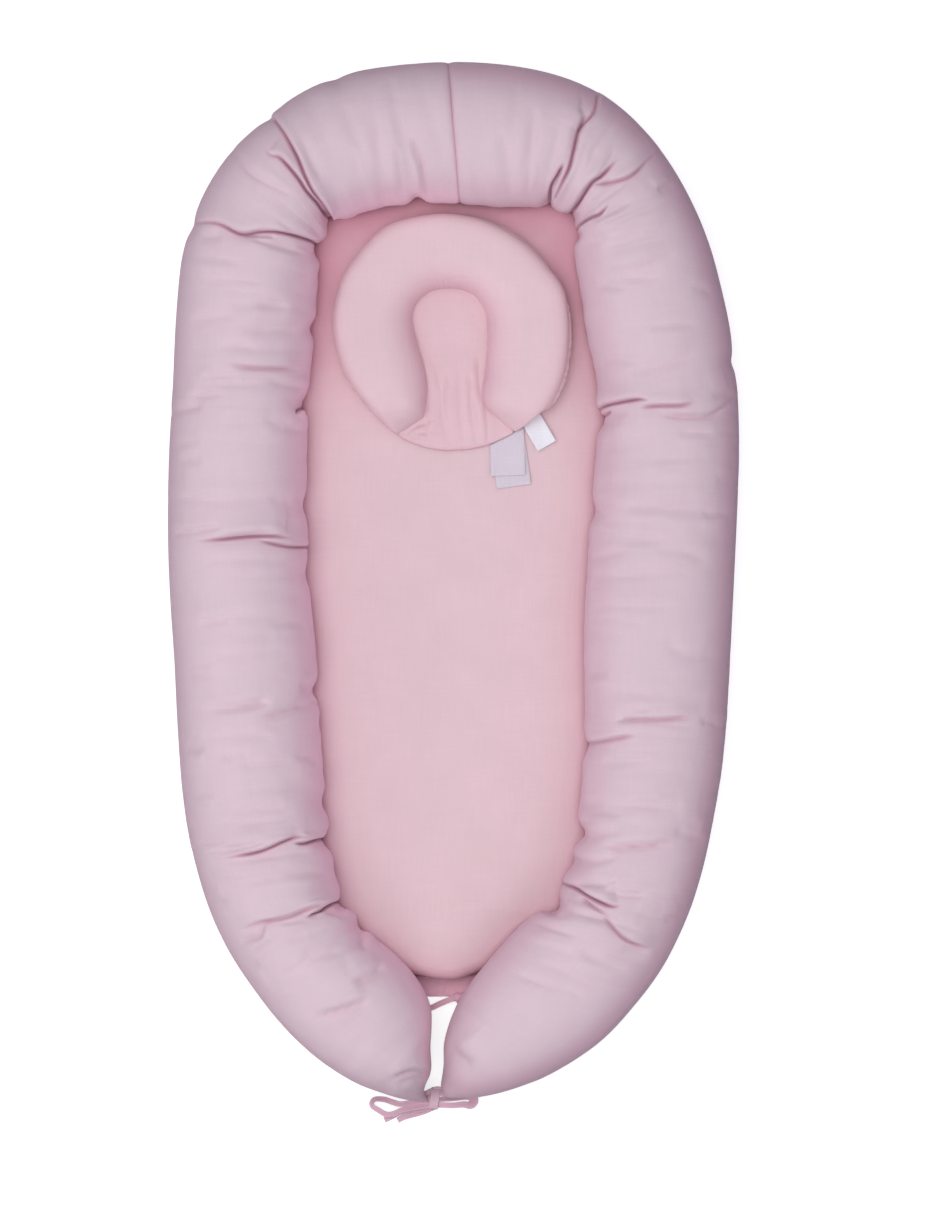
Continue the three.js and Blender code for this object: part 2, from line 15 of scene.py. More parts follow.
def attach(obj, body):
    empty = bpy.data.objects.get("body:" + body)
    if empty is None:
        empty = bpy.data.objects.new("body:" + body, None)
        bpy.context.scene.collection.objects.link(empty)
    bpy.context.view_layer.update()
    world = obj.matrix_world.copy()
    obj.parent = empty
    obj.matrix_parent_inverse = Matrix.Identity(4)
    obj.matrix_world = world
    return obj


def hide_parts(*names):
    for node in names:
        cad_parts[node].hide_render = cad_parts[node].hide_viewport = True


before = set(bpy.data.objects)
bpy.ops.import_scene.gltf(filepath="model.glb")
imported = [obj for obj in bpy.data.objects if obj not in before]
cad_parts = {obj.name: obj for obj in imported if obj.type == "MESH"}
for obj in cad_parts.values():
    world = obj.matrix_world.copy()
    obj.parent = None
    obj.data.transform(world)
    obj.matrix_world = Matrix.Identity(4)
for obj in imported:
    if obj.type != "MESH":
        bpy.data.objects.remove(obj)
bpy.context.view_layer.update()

# Scale of the plan
MM_PER_PIXEL = 0.87
ORIGIN_PIXEL = np.array([453.5, 579.5])
IMAGE_PIXELS = (940, 1215)
METRES = 0.001
TINY = 1e-9
RIM_ROUNDING = 0.4

# Bolster
BOLSTER_HEIGHT = 112.0
WAIST_SHARE = 0.48
TOP_SQUARENESS = 2.15
BOTTOM_SQUARENESS = 2.6
RING_SPACING = 4.0
RING_SIDES = 88
DENSE_SPACING = 2.8
CREASE_SPACING = 0.8
DENSE_SIDES = 190
HEAD_SEAM_DEPTH = 1.2
HEAD_SEAM_REACH = 2.6
HEAD_SEAM_TURN = 0.9
CREASE_WIDTH = 1.2
CRISP_DEPTHS = (1.6, 3.2)
# Across a fold, as shares of its depth or width: the line, what a crisp line has more, the width of a soft
# line, the valley and its reach, and the ridge; and how far along it a fold fades at each end
FOLD_LINE = 1.2
CRISP_LINE = 0.3
SOFT_LINE_WIDTH = 0.65
VALLEY = 0.55
VALLEY_REACH = 1.2
RIDGE = 0.85
FADE_REACHES = (0.25, 0.35)
CREASE_CLEAR = 0.8
FOLD_REACH = 9
FOLD_POINT_SPACING = 3
# How much of the folds is left on the walls, the height of the normal where they are full, and the heights
# where they start on the underside and how soon they are whole
FOLD_WALL_SHARE = 0.3
FOLD_TOP = 0.4
FOLD_UNDERSIDE = -0.35
FOLD_UNDERSIDE_RUN = 0.3
# Small folds: how many, and what their depths, widths, places and reaches across the cover are drawn between
SMALL_FOLDS = 70
SMALL_FOLD_DEPTHS = (0.5, 1.3)
SMALL_FOLD_WIDTHS = (4, 8)
SMALL_FOLD_PLACES = (0.08, 0.92)
SMALL_FOLD_REACHES = (0.18, 0.55)
SMALL_FOLD_POINTS = 4
SMALL_FOLD_SLOPE = 1.2
SMALL_FOLD_SHAKE = 0.12
SMALL_FOLD_ROWS = {"bolster_left": (0.13, 0.97), "bolster_right": (0.03, 0.87)}
NOTCH_HEIGHT = 45.0
# Crumples of the cover: depth, size along it, features round it and seed
CRUMPLES = [(1.0, 13, 6, 6), (0.35, 5.5, 9, 7)]
# Patches where the crumples are strong: their size and seed, and their contrast
CRUMPLE_PATCHES = (110, 5)
CRUMPLE_CONTRAST = 1.6
# Rows of the finer grid are close together this near to a fold that is crisp by this share
DENSE_REACH = 9
DENSE_CRISP_SHARE = 0.8

# Cloth: how far down and across each link of the grid goes and how stiff it is, and the extra length of
# the cut along the bolster and at its corners
CLOTH_LINKS = [(1, 0, 0.9), (0, 1, 0.9), (1, 1, 0.5), (1, -1, 0.5), (2, 0, 0.3), (0, 2, 0.2), (3, 0, 0.2)]
INNER_SLACK = 0.02
OUTER_SLACK_SHARE = 0.12
CORNER_SLACK = 0.02
TIP_STILL = 110
TIP_TAUT = 60
PUFF_PRESSURE = 0.0003
PUFF_STEPS = 150
PUFF_CAP = 10.0
PUFF_SPREAD_ROWS = 14
CLOTH_WAKE = 1.2
CLOTH_KEPT_SPEED = 0.9
# Least length and weight that the cloth divides by
CLOTH_LEAST = 1e-6
# Noise that wakes the cloth and that its slack follows: size and seed
WAKE_RIPPLE = (16, 2)
SLACK_RIPPLE = (70, 8)
SLACK_LIFT = 0.25
# What holds the cloth: its base below a height, the pinches, the tips and its inner side from a share on
BASE_HOLD_HEIGHT = 8
PINCH_HOLD = 0.9
TIP_FREEDOM = 0.05
INNER_HOLD = 0.5
INNER_HOLD_START = 0.85
INNER_HOLD_RUN = 0.1
FLOOR_SINK = 1.5
FLOOR_GAP = 0.3

# Outer and inner edge of the bolster, pixel by pixel pair, from the head seam to each tip, and the share
# of the full height there
LEFT_PAIRS = [
    ((450, 62), (461, 204), 1), ((395, 66), (420, 203), 1), ((342, 75), (385, 207), 1),
    ((298, 95), (352, 216), 1), ((263, 122), (331, 227), 1), ((229, 155), (324, 239), 1),
    ((204, 195), (320, 252), 1), ((187, 235), (319, 268), 1), ((180, 275), (317, 292), 1),
    ((175, 335), (314, 337), 1), ((173, 385), (309, 385), 1), ((169, 455), (307, 455), 1),
    ((168, 535), (307, 533), 1), ((170, 595), (310, 592), 1), ((174, 655), (316, 650), 1),
    ((177, 715), (319, 712), 1), ((181, 775), (323, 768), 1), ((187, 825), (327, 812), 0.99),
    ((196, 865), (331, 847), 0.99), ((207, 903), (338, 884), 0.98), ((225, 944), (356, 914), 0.97),
    ((250, 984), (373, 936), 0.96), ((282, 1025), (398, 957), 0.94), ((318, 1059), (419, 982), 0.9),
    ((355, 1083), (431, 1010), 0.82), ((392, 1097), (430.5, 1048), 0.66),
    ((411, 1102), (430.5, 1074), 0.44), ((422, 1104), (424, 1089), 0.22), ((428, 1104), (426, 1098), 0.1),
]
RIGHT_PAIRS = [
    ((450, 62), (461, 204), 1), ((505, 65), (500, 207), 1), ((556, 75), (533, 207), 1),
    ((603, 95), (556, 210), 1), ((634, 120), (567, 217), 1), ((664, 155), (573, 229), 1),
    ((688, 195), (574, 246), 1), ((706, 235), (576, 266), 1), ((718, 275), (580, 290), 1),
    ((730, 330), (587, 335), 1), ((737, 390), (597, 385), 1), ((739, 440), (597, 440), 1),
    ((738, 490), (593, 490), 1), ((735, 560), (588, 558), 1), ((731, 640), (584, 636), 1),
    ((727, 715), (585, 710), 1), ((721, 775), (583, 768), 1), ((713, 820), (579, 812), 0.99),
    ((703, 868), (571, 855), 0.99), ((688, 915), (556, 896), 0.98), ((664, 965), (521, 925), 0.96),
    ((635, 1005), (494, 954), 0.94), ((600, 1042), (470, 984), 0.92), ((555, 1072), (454, 1011), 0.88),
    ((515, 1089), (444.5, 1041), 0.76), ((480, 1098), (443, 1068), 0.58), ((455, 1100), (441, 1085), 0.36),
    ((444, 1099), (441, 1093), 0.16),
]

# Folds of the bolster's covers: depth, width of the ridge beside the line, the side that it lies on going
# along the line (1 is left), how much of the depth is left at the start and at the end, and the line, in
# pixels
LEFT_FOLDS = [
    # head
    (2.4, 5, 1, 0.6, 0, [(427, 198), (422, 174), (416, 154), (412, 136)]),
    (1.0, 8, 1, 0.5, 0, [(384, 200), (380, 170), (372, 108)]),
    (0.9, 8, 1, 0, 0, [(361, 156), (352, 130), (345, 104)]),
    # corner
    (4.6, 4, -1, 1, 0.5,
     [(332, 218), (322, 204), (313, 192), (305, 176),
      (298, 159), (284, 134), (274, 120)]),
    (4.8, 4, -1, 1, 0, [(331, 220), (320, 207), (309, 195), (298, 179), (281, 160), (271, 157), (265, 149)]),
    (1.7, 5, -1, 0, 0.4, [(299, 201), (284, 192), (262, 181), (250, 172), (240, 158), (233, 150)]),
    (4.2, 6, -1, 1, 0.2,
     [(324, 251), (316, 244), (305, 240), (281, 234.5),
      (262, 234), (242, 236), (218, 225), (196, 224)]),
    (2.2, 3, 1, 0, 0, [(278, 239), (260, 238), (243, 237.5)]),
    # side
    (1.2, 8, -1, 0, 0, [(240, 317), (225, 316), (207, 318), (186, 322)]),
    (1.7, 8, -1, 0, 0, [(306, 329), (285, 330), (262, 330), (236, 328)]),
    (1.0, 8, -1, 0, 0, [(262, 350), (240, 346), (215, 347)]),
    (2.6, 5, -1, 0, 0, [(303, 371), (285, 370), (250, 369), (226, 364)]),
    (1.2, 6, -1, 0, 0, [(242, 377), (220, 376), (200, 378)]),
    (1.8, 5, -1, 0.4, 0, [(309, 389), (290, 386), (266, 380)]),
    (4.0, 5, 1, 1, 0, [(311, 402), (304, 407), (295, 415)]),
    (1.2, 7, -1, 0, 0, [(225, 395), (205, 395), (186, 397)]),
    (1.3, 7, -1, 0, 0.5, [(205, 404), (185, 409), (168, 413)]),
    (1.3, 7, -1, 0.5, 0, [(308, 431), (290, 428), (270, 427)]),
    (1.2, 6, -1, 0, 0.3, [(225, 499), (200, 499), (172, 499)]),
    (3.6, 6, -1, 0, 0, [(294, 537.5), (285, 538), (275, 536.5), (250, 537), (218, 540), (196, 541)]),
    (3.2, 5, -1, 1, 0, [(309, 547), (290, 547), (270, 543), (258, 540)]),
    (1.7, 5, -1, 0, 0, [(224, 527), (205, 529), (180, 534)]),
    (2.2, 6, -1, 0, 0, [(275, 699), (258, 702), (240, 706), (200, 708)]),
    (2.3, 6, -1, 0.7, 0, [(320, 703), (300, 707), (270, 714), (256, 713)]),
    (1.0, 7, -1, 0, 0, [(300, 757), (260, 762), (226, 762)]),
    (1.2, 6, -1, 0, 0, [(300, 809), (270, 808), (222, 808)]),
    (4.0, 4, -1, 1, 0, [(327, 839), (318, 839), (306, 842), (294, 842)]),
    (3.8, 5, -1, 0, 0, [(308, 837), (297, 836), (283, 841), (262, 850), (226, 857)]),
    (1.8, 6, -1, 0, 0, [(272, 838), (240, 846), (205, 852)]),
    (4.6, 4, -1, 1, 0, [(343, 902), (335, 902), (325, 907), (307, 917)]),
    (2.8, 5, -1, 0, 0, [(332, 902), (310, 907), (290, 915), (262, 921), (238, 930)]),
    (2.2, 4, 1, 0, 0, [(267, 916), (264, 926), (260, 936), (250, 938), (238, 943)]),
    (2.2, 5, 1, 0.8, 0, [(361, 925), (364, 938), (363, 952)]),
    (2.2, 8, -1, 0, 0, [(386, 962), (372, 972), (350, 981)]),
    (2.3, 8, -1, 0, 0, [(372, 996), (345, 1007), (312, 1016)]),
    (2.2, 5, -1, 0.3, 0, [(428, 1073), (419, 1071), (411, 1070), (403, 1073), (396, 1076), (390, 1080)]),
    (1.2, 4, -1, 0, 0, [(424, 1080), (414, 1078), (404, 1081), (396, 1086)]),
]
RIGHT_FOLDS = [
    # head
    (1.0, 8, 1, 0.5, 0, [(510, 204), (508, 176), (501, 130)]),
    # corner
    (4.8, 4, -1, 1, 0, [(550, 204), (551, 190), (557, 179), (564, 164)]),
    (4.0, 4, -1, 0.3, 0.4,
     [(556, 196), (563, 182), (569, 170), (573, 154),
      (580, 129), (594, 114), (598, 96)]),
    (2.4, 4, 1, 0, 0, [(578, 134), (583, 123), (588, 114)]),
    (4.6, 5, 1, 1, 0, [(567, 219), (576, 206), (590, 186), (600, 179), (609, 170), (619, 160)]),
    (3.0, 5, 1, 0, 0.2, [(586, 189), (600, 187), (618, 183), (632, 177), (652, 158)]),
    (3.4, 4, -1, 1, 0, [(571, 236), (580, 226), (590, 220), (600, 216), (609, 204)]),
    (1.6, 5, -1, 0, 0, [(588, 226), (606, 218), (634, 201)]),
    # side
    (1.1, 8, 1, 0.2, 0, [(583, 277), (612, 271), (640, 270), (676, 258)]),
    (1.5, 7, 1, 0, 0, [(622, 374), (650, 367), (680, 360), (702, 350)]),
    (4.2, 5, 1, 1, 0, [(596, 416), (603, 407), (625, 402), (640, 400.5), (649, 402)]),
    (3.0, 5, 1, 0, 0, [(636, 409), (655, 407), (680, 406.5), (699, 402)]),
    (2.2, 5, 1, 0, 0.3, [(656, 413), (675, 417), (705, 417), (718, 412), (732, 400)]),
    (3.6, 4, 1, 1, 0, [(594, 424), (602, 418), (609, 411)]),
    (1.3, 7, 1, 0.6, 0, [(583, 557), (600, 556), (630, 549)]),
    (1.1, 7, 1, 0, 0, [(648, 549), (680, 550), (714, 563)]),
    (1.2, 7, 1, 0.4, 0, [(586, 578), (634, 574), (702, 571)]),
    (1.1, 8, 1, 0, 0.3, [(660, 642), (690, 654), (728, 656)]),
    (2.7, 6, 1, 0, 0, [(612, 723), (625, 719), (660, 719), (699, 716)]),
    (2.8, 6, 1, 0.8, 0, [(583, 745), (600, 741), (638, 733)]),
    (1.4, 5, 1, 0, 0, [(598, 761), (620, 760), (654, 759)]),
    (1.1, 6, 1, 0.5, 0, [(577, 807), (605, 801)]),
    (1.5, 6, 1, 0, 0, [(584, 834), (600, 832), (624, 828)]),
    (2.5, 6, 1, 0, 0, [(598, 845), (615, 846), (655, 843), (680, 839)]),
    (2.0, 5, 1, 0.5, 0, [(571, 859), (590, 860), (620, 854)]),
    (4.6, 5, 1, 0.6, 0, [(562, 883), (575, 887), (592, 897), (612, 905), (622, 902)]),
    (2.8, 4, 1, 0, 0, [(578, 895), (590, 903), (608, 916)]),
    (3.0, 6, 1, 0, 0, [(600, 912), (620, 934), (635, 943), (653, 949)]),
    (1.6, 6, 1, 0, 0, [(604, 888), (625, 893), (650, 892)]),
    (1.6, 9, 1, 0, 0, [(447, 1040), (453, 1049), (462, 1059), (480, 1066)]),
    (1.6, 11, 1, 0, 0, [(450, 1044), (458, 1055), (472, 1062)]),
]
# Pinches in the bolster's inner wall: place in pixels, depth and half width
NOTCHES = [
    ((333, 219), 8, 6), ((322, 249), 5, 6), ((317, 329), 4, 5), ((308, 405), 5, 6), ((305, 505), 3, 7),
    ((309, 574), 2.5, 7), ((316, 691), 5, 5), ((324, 803), 3, 7), ((328, 840), 6, 6), ((344, 902), 8, 6),
    ((361, 926), 4, 6), ((418, 201), 6, 4), ((551, 205), 4, 5), ((567, 219), 5, 5), ((574, 236), 5, 5),
    ((597, 420), 5, 6), ((593, 511), 3, 6), ((586, 745), 3, 6), ((577, 833), 8, 6), ((570, 861), 4, 6),
    ((552, 904), 10, 6), ((269, 120), 2.8, 3.5), ((336, 81), 2.5, 5), ((731, 362), 3, 4.5),
    ((189, 225), 2, 6),
]

# Mattress, in millimetres; its outline is the bolster's inner edge and the foot end below, in pixels
MATTRESS_FOOT = [
    (398, 960), (412, 973), (421, 977), (434, 979.5), (449, 981), (463, 979), (475, 972), (494, 953),
]
MATTRESS_TOP = 38.1
MATTRESS_BASE = 3.5
MATTRESS_POINT_SPACING = 3.5
MATTRESS_TUCK_ENDS = (-347, -333)
MATTRESS_CROWN_RUN = 80
MATTRESS_TOP_RINGS = 34
# Soft unevenness of its top: size and seed, height, and the height of the cover where it starts and its run
MATTRESS_WAVE = (60, 3)
MATTRESS_WAVE_HEIGHT = 0.4
MATTRESS_WAVE_START = 30
MATTRESS_WAVE_RUN = 5
# Inset from the outline and height of the rings round the edge, from the seam up and from the seam down
MATTRESS_TOP_PROFILE = [
    (1.2, 15.5), (0.2, 17), (0, 20), (0.1, 24), (0.9, 27.5), (2.4, 30.4), (5, 32.8), (9, 34.6),
]
MATTRESS_UNDER_PROFILE = [(1.2, 15.1), (0.3, 13.5), (0.2, 10), (2, 6.4), (6, 4.4), (12, 3.5)]
# Rings of its underside as shares of the way in, and how far its edge lies under the bolster
MATTRESS_UNDER_SHARES = (0.3, 0.6, 0.97)
MATTRESS_UNDER = 5.2
PINCH_SHARE = 0.8
PINCH_SPREAD = 1.6
# Painted shade on the mattress's top: where along it the head's and the foot's start and are full, how far
# the head's and the sides' reach in from the rim, and the share at the sides
HEAD_PAINTED_SHADE = (110, 290)
FOOT_PAINTED_SHADE = (-322, -350)
HEAD_PAINTED_SHADE_REACH = 45
SIDE_PAINTED_SHADE_REACH = 11
SIDE_PAINTED_SHADE_SHARE = 0.75
MATTRESS_SPINE_ENDS = [(-3.5, -285), (-4.5, 215)]

# Pillow: outer and inner edge of its horseshoe from the left lobe round to the right lobe, in pixels, with
# the share of the full rise
PILLOW_CENTRE = np.array([-2.0, 216.0])
PILLOW_RADIUS = 103.0
PILLOW_BASE = 38.7
PILLOW_FLAT_ANGLE = 222
PILLOW_FLAT_DEPTH = 4.5
PILLOW_FLAT_REACH = 0.6
# Rings of the pillow's back: share of its radius and height over its base, along its underside and its top
PILLOW_BACK_INSET = 0.8
PILLOW_BACK_RINGS = [
    (0.03, 0.1), (0.25, 0.1), (0.5, 0.1), (0.75, 0.1), (0.9, 0.1), (0.97, 0.1), (1.0, 0.1),
    (1.0, 1.5), (0.97, 1.5), (0.5, 1.5), (0.03, 1.5),
]
PANEL_TOP = 40.8
PANEL_THICKNESS = 0.9
PANEL_CROWN = 2.0
PANEL_SPACING = 1.1
PANEL_COLUMNS = 85
RING_OUTER_SQUARENESS = 4.8
RING_INNER_SQUARENESS = 2.2
PILLOW_RING_SIDES = 84
PILLOW_RING_SPACING = 2.6
PILLOW_TOP = 71.0
HORSESHOE_PAIRS = [
    ((397, 434), (424, 417), 0.1), ((390, 428.5), (424.5, 413), 0.45), ((381, 420.5), (425.5, 408), 0.72),
    ((369.5, 408.5), (426.5, 399), 0.92), ((349, 382), (427, 386), 1), ((338.5, 357.5), (423.5, 364), 1),
    ((333, 331), (416, 339), 1), ((334.5, 304), (412, 317), 1), ((345, 271.5), (418, 301), 1),
    ((371.5, 238), (430, 291.5), 1), ((396, 221.5), (438, 289), 1), ((439, 213.5), (448, 288), 1),
    ((473.5, 217), (458, 289), 1), ((498, 226), (466, 291), 1), ((526.5, 243.5), (475, 296), 1),
    ((551, 270), (484.5, 310.5), 1), ((565, 292), (487, 329), 1), ((569.5, 329), (486.5, 353), 1),
    ((566, 369.5), (484.5, 374), 1), ((555.5, 397), (482, 388), 0.97), ((544, 414.5), (482.5, 399), 0.85),
    ((532, 424), (486, 408), 0.6), ((516, 432.5), (496, 417), 0.12),
]
# Left and right edge of the keyhole panel, row by row from its head to the pillow's foot edge, in pixels
KEYHOLE_PAIRS = [
    ((441, 286), (455, 286)), ((428, 290), (469, 290)), ((416, 299), (481, 300)),
    ((409.5, 313), (487.5, 311)), ((410, 328), (490, 327)), ((414, 343), (489.5, 345)),
    ((419, 358), (488.5, 360)), ((423.5, 375), (486.5, 376)), ((424.5, 392), (484.5, 392)),
    ((423.5, 408), (486, 404)), ((413, 419), (495, 414)), ((400, 429), (512, 429)),
    ((400, 436), (511, 435.5)), ((413, 442.5), (500, 440)), ((429, 447.5), (487, 444.5)),
    ((446, 450), (470, 448.5)),
]

# Folds and seams of the keyhole panel and its gussets, written like those of the bolster
PANEL_FOLDS = [
    (1.5, 8, -1, 0, 0, [(424, 346), (431, 360), (438, 376), (441, 396)]),
    (1.3, 6, 1, 0, 0.3, [(446, 366), (444, 388), (444, 410), (448, 438)]),
    (1.0, 5, 1, 0, 0.3, [(459, 358), (460, 385), (461, 412), (465, 442)]),
    (1.4, 5, 1, 0, 0.4, [(468, 364), (471, 390), (473, 412), (478, 442)]),
    (0.9, 5, -1, 0, 0, [(478, 352), (478, 380), (481, 408)]),
    (0.7, 3, 1, 0.4, 0.6, [(424.5, 398), (427, 416), (428, 432), (429, 447)]),
    (0.7, 3, -1, 0.4, 0.6, [(484.5, 396), (486, 416), (487, 432), (488, 445)]),
    (2.0, 3, 1, 0.4, 0, [(426, 423), (417, 426), (408, 432), (401, 434)]),
    (1.6, 3, 1, 0.4, 0, [(427, 433), (418, 434), (409, 438)]),
    (1.2, 3, -1, 0.4, 0, [(424, 440), (415, 438), (408, 434)]),
]
PANEL_EDGE_RISE = 0.5
PANEL_EDGE_WIDTH = 1.6
PANEL_RIPPLE = (16, 3)
PANEL_RIPPLE_HEIGHT = 0.5
# Puckers of the horseshoe above the panel's head, and the ruffled seam at the pillow's right edge, in pixels
PUCKER_DEPTH = 0.8
PUCKER_ROWS = (9.5, 13.5)
PUCKER_SPACING = 3.2
PUCKER_FADE = 1.5
PUCKER_PLACE = -0.82
PUCKER_WIDTH = 0.22
PUCKER_LEAST = 0.25
RUFFLE_ROUTE = [
    (562, 289), (568, 310), (570, 332), (569, 352), (566, 373), (560, 391), (553, 403), (546, 412),
]
RUFFLE_WIDTH = 2.8
RUFFLE_HEIGHT = 53.0
RUFFLE_SPACING = 0.8
RUFFLE_WAVE = 2.8
RUFFLE_COLUMNS = 9
RUFFLE_GATHER = 3.6
RUFFLE_FADE = 12
RUFFLE_UNEVENNESS = 0.7
RUFFLE_TUCK = 0.4
RUFFLE_TILT = 1.2
RUFFLE_THICKNESS = 0.7

# Labels at the pillow's edge: width and length, the angle of the sewn edge round the pillow and the way
# that the leaf points, in degrees from +X, the height of its underside and how far it curls up
LABELS = {
    "care_label_back": (30, 44, -62, -82, 38.7, 0.8),
    "care_label_front": (30, 34, -62, -88, 39.5, 2.2),
    "satin_tab": (18, 27, -47.5, -60, 38.7, 2.4),
}
LABEL_ROOT = PILLOW_RADIUS + 0.3
LABEL_THICKNESS = 0.45
LABEL_POINTS = (21, 13)
LABEL_CURL_MIDDLE = 0.35
# Room beside the labels when they are folded up: the gap, how much wider it gets with height, and its margin
LABEL_GAP = 0.3
LABEL_LEAN = 0.08
LABEL_MARGIN = 9.0
LABEL_SOFTNESS = 0.4

# Ties. Each strap of the bow has a route from the point between the bolster's tips, how far it is rolled
# onto its edge along it, in degrees, and its width there as a share; the foot tie starts from the middle of
# the foot edge. Each band wound round a knot has a place, half sizes, a width, a lean and a thickness.
TIE_THICKNESS = 1.4
STRAP_MIDDLE = 0.5
STRAP_SQUARENESS = (5, 2.6)
STRAP_SIDES = 28
STRAP_SPACING = 1.2
BAND_STEPS = 48
BOW_TIE_WIDTH = 5.0
BOW_LEAD_WIDTH = 6.5
FOOT_TIE_WIDTH = 5.0
FOOT_TIE_ROLL = 8
BOW_ORIGIN = np.array([-15.91, -443.31, 0])
FOOT_ORIGIN = np.array([0, -346.0, 0])
BOW_KNOT_PLACE = np.array([-1, -12.5, 5])
FOOT_KNOT_PLACE = np.array([5, -19.4, 4])
BOW_STRAPS = {
    "bow_loop_left": (
        [(-3.9, -12.4, 6.2), (-20.2, -13.9, 6.2), (-30.6, -15.2, 6.2), (-37.6, -13.4, 6.2),
         (-44.6, -11.1, 6.2), (-52.4, -10.8, 6.2), (-55.4, -13.4, 6.2), (-55, -16.9, 6.2),
         (-49.8, -20.4, 6.2), (-42.8, -24.2, 6.2), (-36.7, -23.7, 6.2), (-28.9, -20.4, 6.2),
         (-18.5, -18.2, 6.2), (-3.9, -15.9, 6.2)],
        [25, 20, 10, 0, -15, -30, -35, -30, -15, 0, 5, 10, 20, 25],
        None,
    ),
    "bow_loop_right": (
        [(2.4, -11.2, 6.2), (12.9, -10.6, 6.2), (21.6, -9.6, 6.2), (28, -8.6, 6.2), (32.6, -9.6, 6.2),
         (33.4, -13.2, 6.2), (30.3, -16.1, 6.2), (24.2, -15.5, 6.2), (14.6, -16.3, 6.2), (2.4, -15.8, 6.2)],
        [40, 35, 25, 10, -10, -20, -10, 5, 10, 15],
        [1, 1, 1, 1.2, 1.7, 1.7, 1.4, 1.1, 1, 1],
    ),
    "bow_tail_front": (
        [(-3.4, -18.2, 2.7), (-14.5, -19.9, 2.7), (-23.5, -20.3, 2.7), (-32.5, -23, 2.7), (-38.5, -26.3, 2.2),
         (-44.5, -29.2, 1.2)],
        [0] * 6,
        None,
    ),
    "bow_tail_back": (
        [(0.6, -17.2, 1.4), (-9, -21.4, 1), (-15, -23.4, 1), (-22, -25.2, 1), (-28, -27, 1), (-33, -29.6, 1)],
        [0] * 6,
        None,
    ),
}
BOW_LEAD = np.array([(-9, -7.6, 5), (-5.5, -5.4, 6), (-1.5, -3.8, 6.6), (3.2, -3.0, 6.6), (9.6, -8.2, 5.0)])
BOW_BANDS = [
    ((0.4, 2.4, 0), (9.0, 4.0), 8.0, -8, 1.5),
    ((-0.6, 0.6, 0), (5.8, 3.0), 8.2, 24, 1.8),
    ((0.2, 0, 0), (3.4, 1.8), 9.5, 0, 3.2),
]
FOOT_STRAPS = {
    "foot_tie_left": [(-33, -29, 1), (-27, -30, 1), (-20, -28.6, 1.4), (-12, -24.8, 2.6), (-5.5, -22, 3.6),
                      (-0.8, -20.4, 4), (3.2, -19.6, 4)],
    "foot_tie_right": [(7, -19.4, 4), (10.8, -19.4, 3.8), (15.5, -19.8, 2.8), (20, -20.4, 1.6),
                       (24.5, -21, 1), (29, -21.4, 1)],
}
FOOT_BANDS = [
    ((-1.6, 0, 0), (4.1, 3.1), 4.8, 24, 1.4),
    ((1.8, 0, 0), (4.0, 3.0), 4.6, -20, 1.4),
    ((0, 0, 0), (2.4, 1.7), 9.5, 0, 2.6),
]

# Base panel: how far it reaches past the bolster's inner edge, and where its head starts to round, ends and
# how long the rounding is. Then the hem at its foot edge, whose halves have an outer end at the bottom and
# at the top edge and lie to one side of the meeting line.
BASE_FOOT = -346.0
BASE_REACH = 33.0
BASE_HEAD = (270.0, 360.0, 92.0)
BASE_MIDDLE = 1.5
BASE_THICKNESS = 1.6
BASE_POINTS = (160, 41)
BASE_RIPPLE = (40, 5)
BASE_RIPPLE_HEIGHT = 0.4
HEM_TOP = -346.4
HEM_BOTTOM = -364.0
HEM_MEETING = -5.0
HEM_SLANT = 4.0
HEM_GAP = 0.25
HEM_MIDDLE = 1.7
HEM_THICKNESS = 1.4
HEM_POINTS = (13, 45)
# Waves of the hem: height, how many radians they turn along it and across it, and the share at its top edge
HEM_WAVE = 0.35
HEM_WAVE_TURNS = (21, 2)
HEM_WAVE_TOP = 0.4
HEM_HALVES = [("foot_hem_left", (-46, -58), -1), ("foot_hem_right", (38, 48), 1)]

# Colours of the cloth, as linear light
BOLSTER_COLOUR = (0.65, 0.528, 0.558)
MATTRESS_COLOUR = (0.722, 0.54, 0.562)
TIE_COLOUR = (0.66, 0.47, 0.53)
# The hem's own pink, made paler still as painted light against the shade at the foot; the foot ties take it
# too
HEM_COLOUR = (0.94, 0.55, 0.66)
LABEL_COLOUR = (0.63, 0.58, 0.63)
SATIN_COLOUR = (0.74, 0.77, 0.8)

# Painted shade: deeper pink in the folds and the well, where shade falls, and darker pink in the lines of
# crisp creases: their colours as shares of the cloth's, and how much of each shows
PAINTED_SHADE_PINK = (0.97, 0.69, 0.8)
PAINTED_CREASE_SHADE = (0.62, 0.36, 0.45)
PAINTED_SHADE_LINE_WIDTH = 1.5
PAINTED_CREASE_LINE_WIDTH = 0.9
# Depths of fold where the painted shade's pink line and the painted dark crease line start, and how much
# deeper they are full
PAINTED_SHADE_DEPTH = 1.4
PAINTED_CREASE_DEPTH = 1.8
MARK_DEPTH_SPAN = 2.6
# Painted shade on the low side of a fold: how much, the fold's depth where it is full, and its reach as a
# share of the fold's width
LOW_SIDE_PAINTED_SHADE = 0.35
LOW_SIDE_DEPTH = 4
LOW_SIDE_REACH = 1.5
# Painted shade on the right half's inner wall: how much, and the height of the normal where it starts
WALL_PAINTED_SHADE = 0.8
WALL_PAINTED_SHADE_START = 0.75
# Inner side of the bolster: the share across it where it starts and its run
INNER_SIDE_START = 0.5
INNER_SIDE_RUN = 0.4
# Painted shade on the steep inner slopes: how much, and the tilt of the normal over which it comes in
SLOPE_PAINTED_SHADE = 0.3
SLOPE_REACH = 0.35
# An even share of the deeper pink over the whole keyhole panel
PANEL_EVEN_PINK = 0.15
# Painted shade on the outside of each half: how much, and the heights of the normal where it starts and is
# full
OUTSIDE_PAINTED_SHADES = {"bolster_left": (0.5, 0.75, 0.0), "bolster_right": (0.5, 0.92, 0.5)}
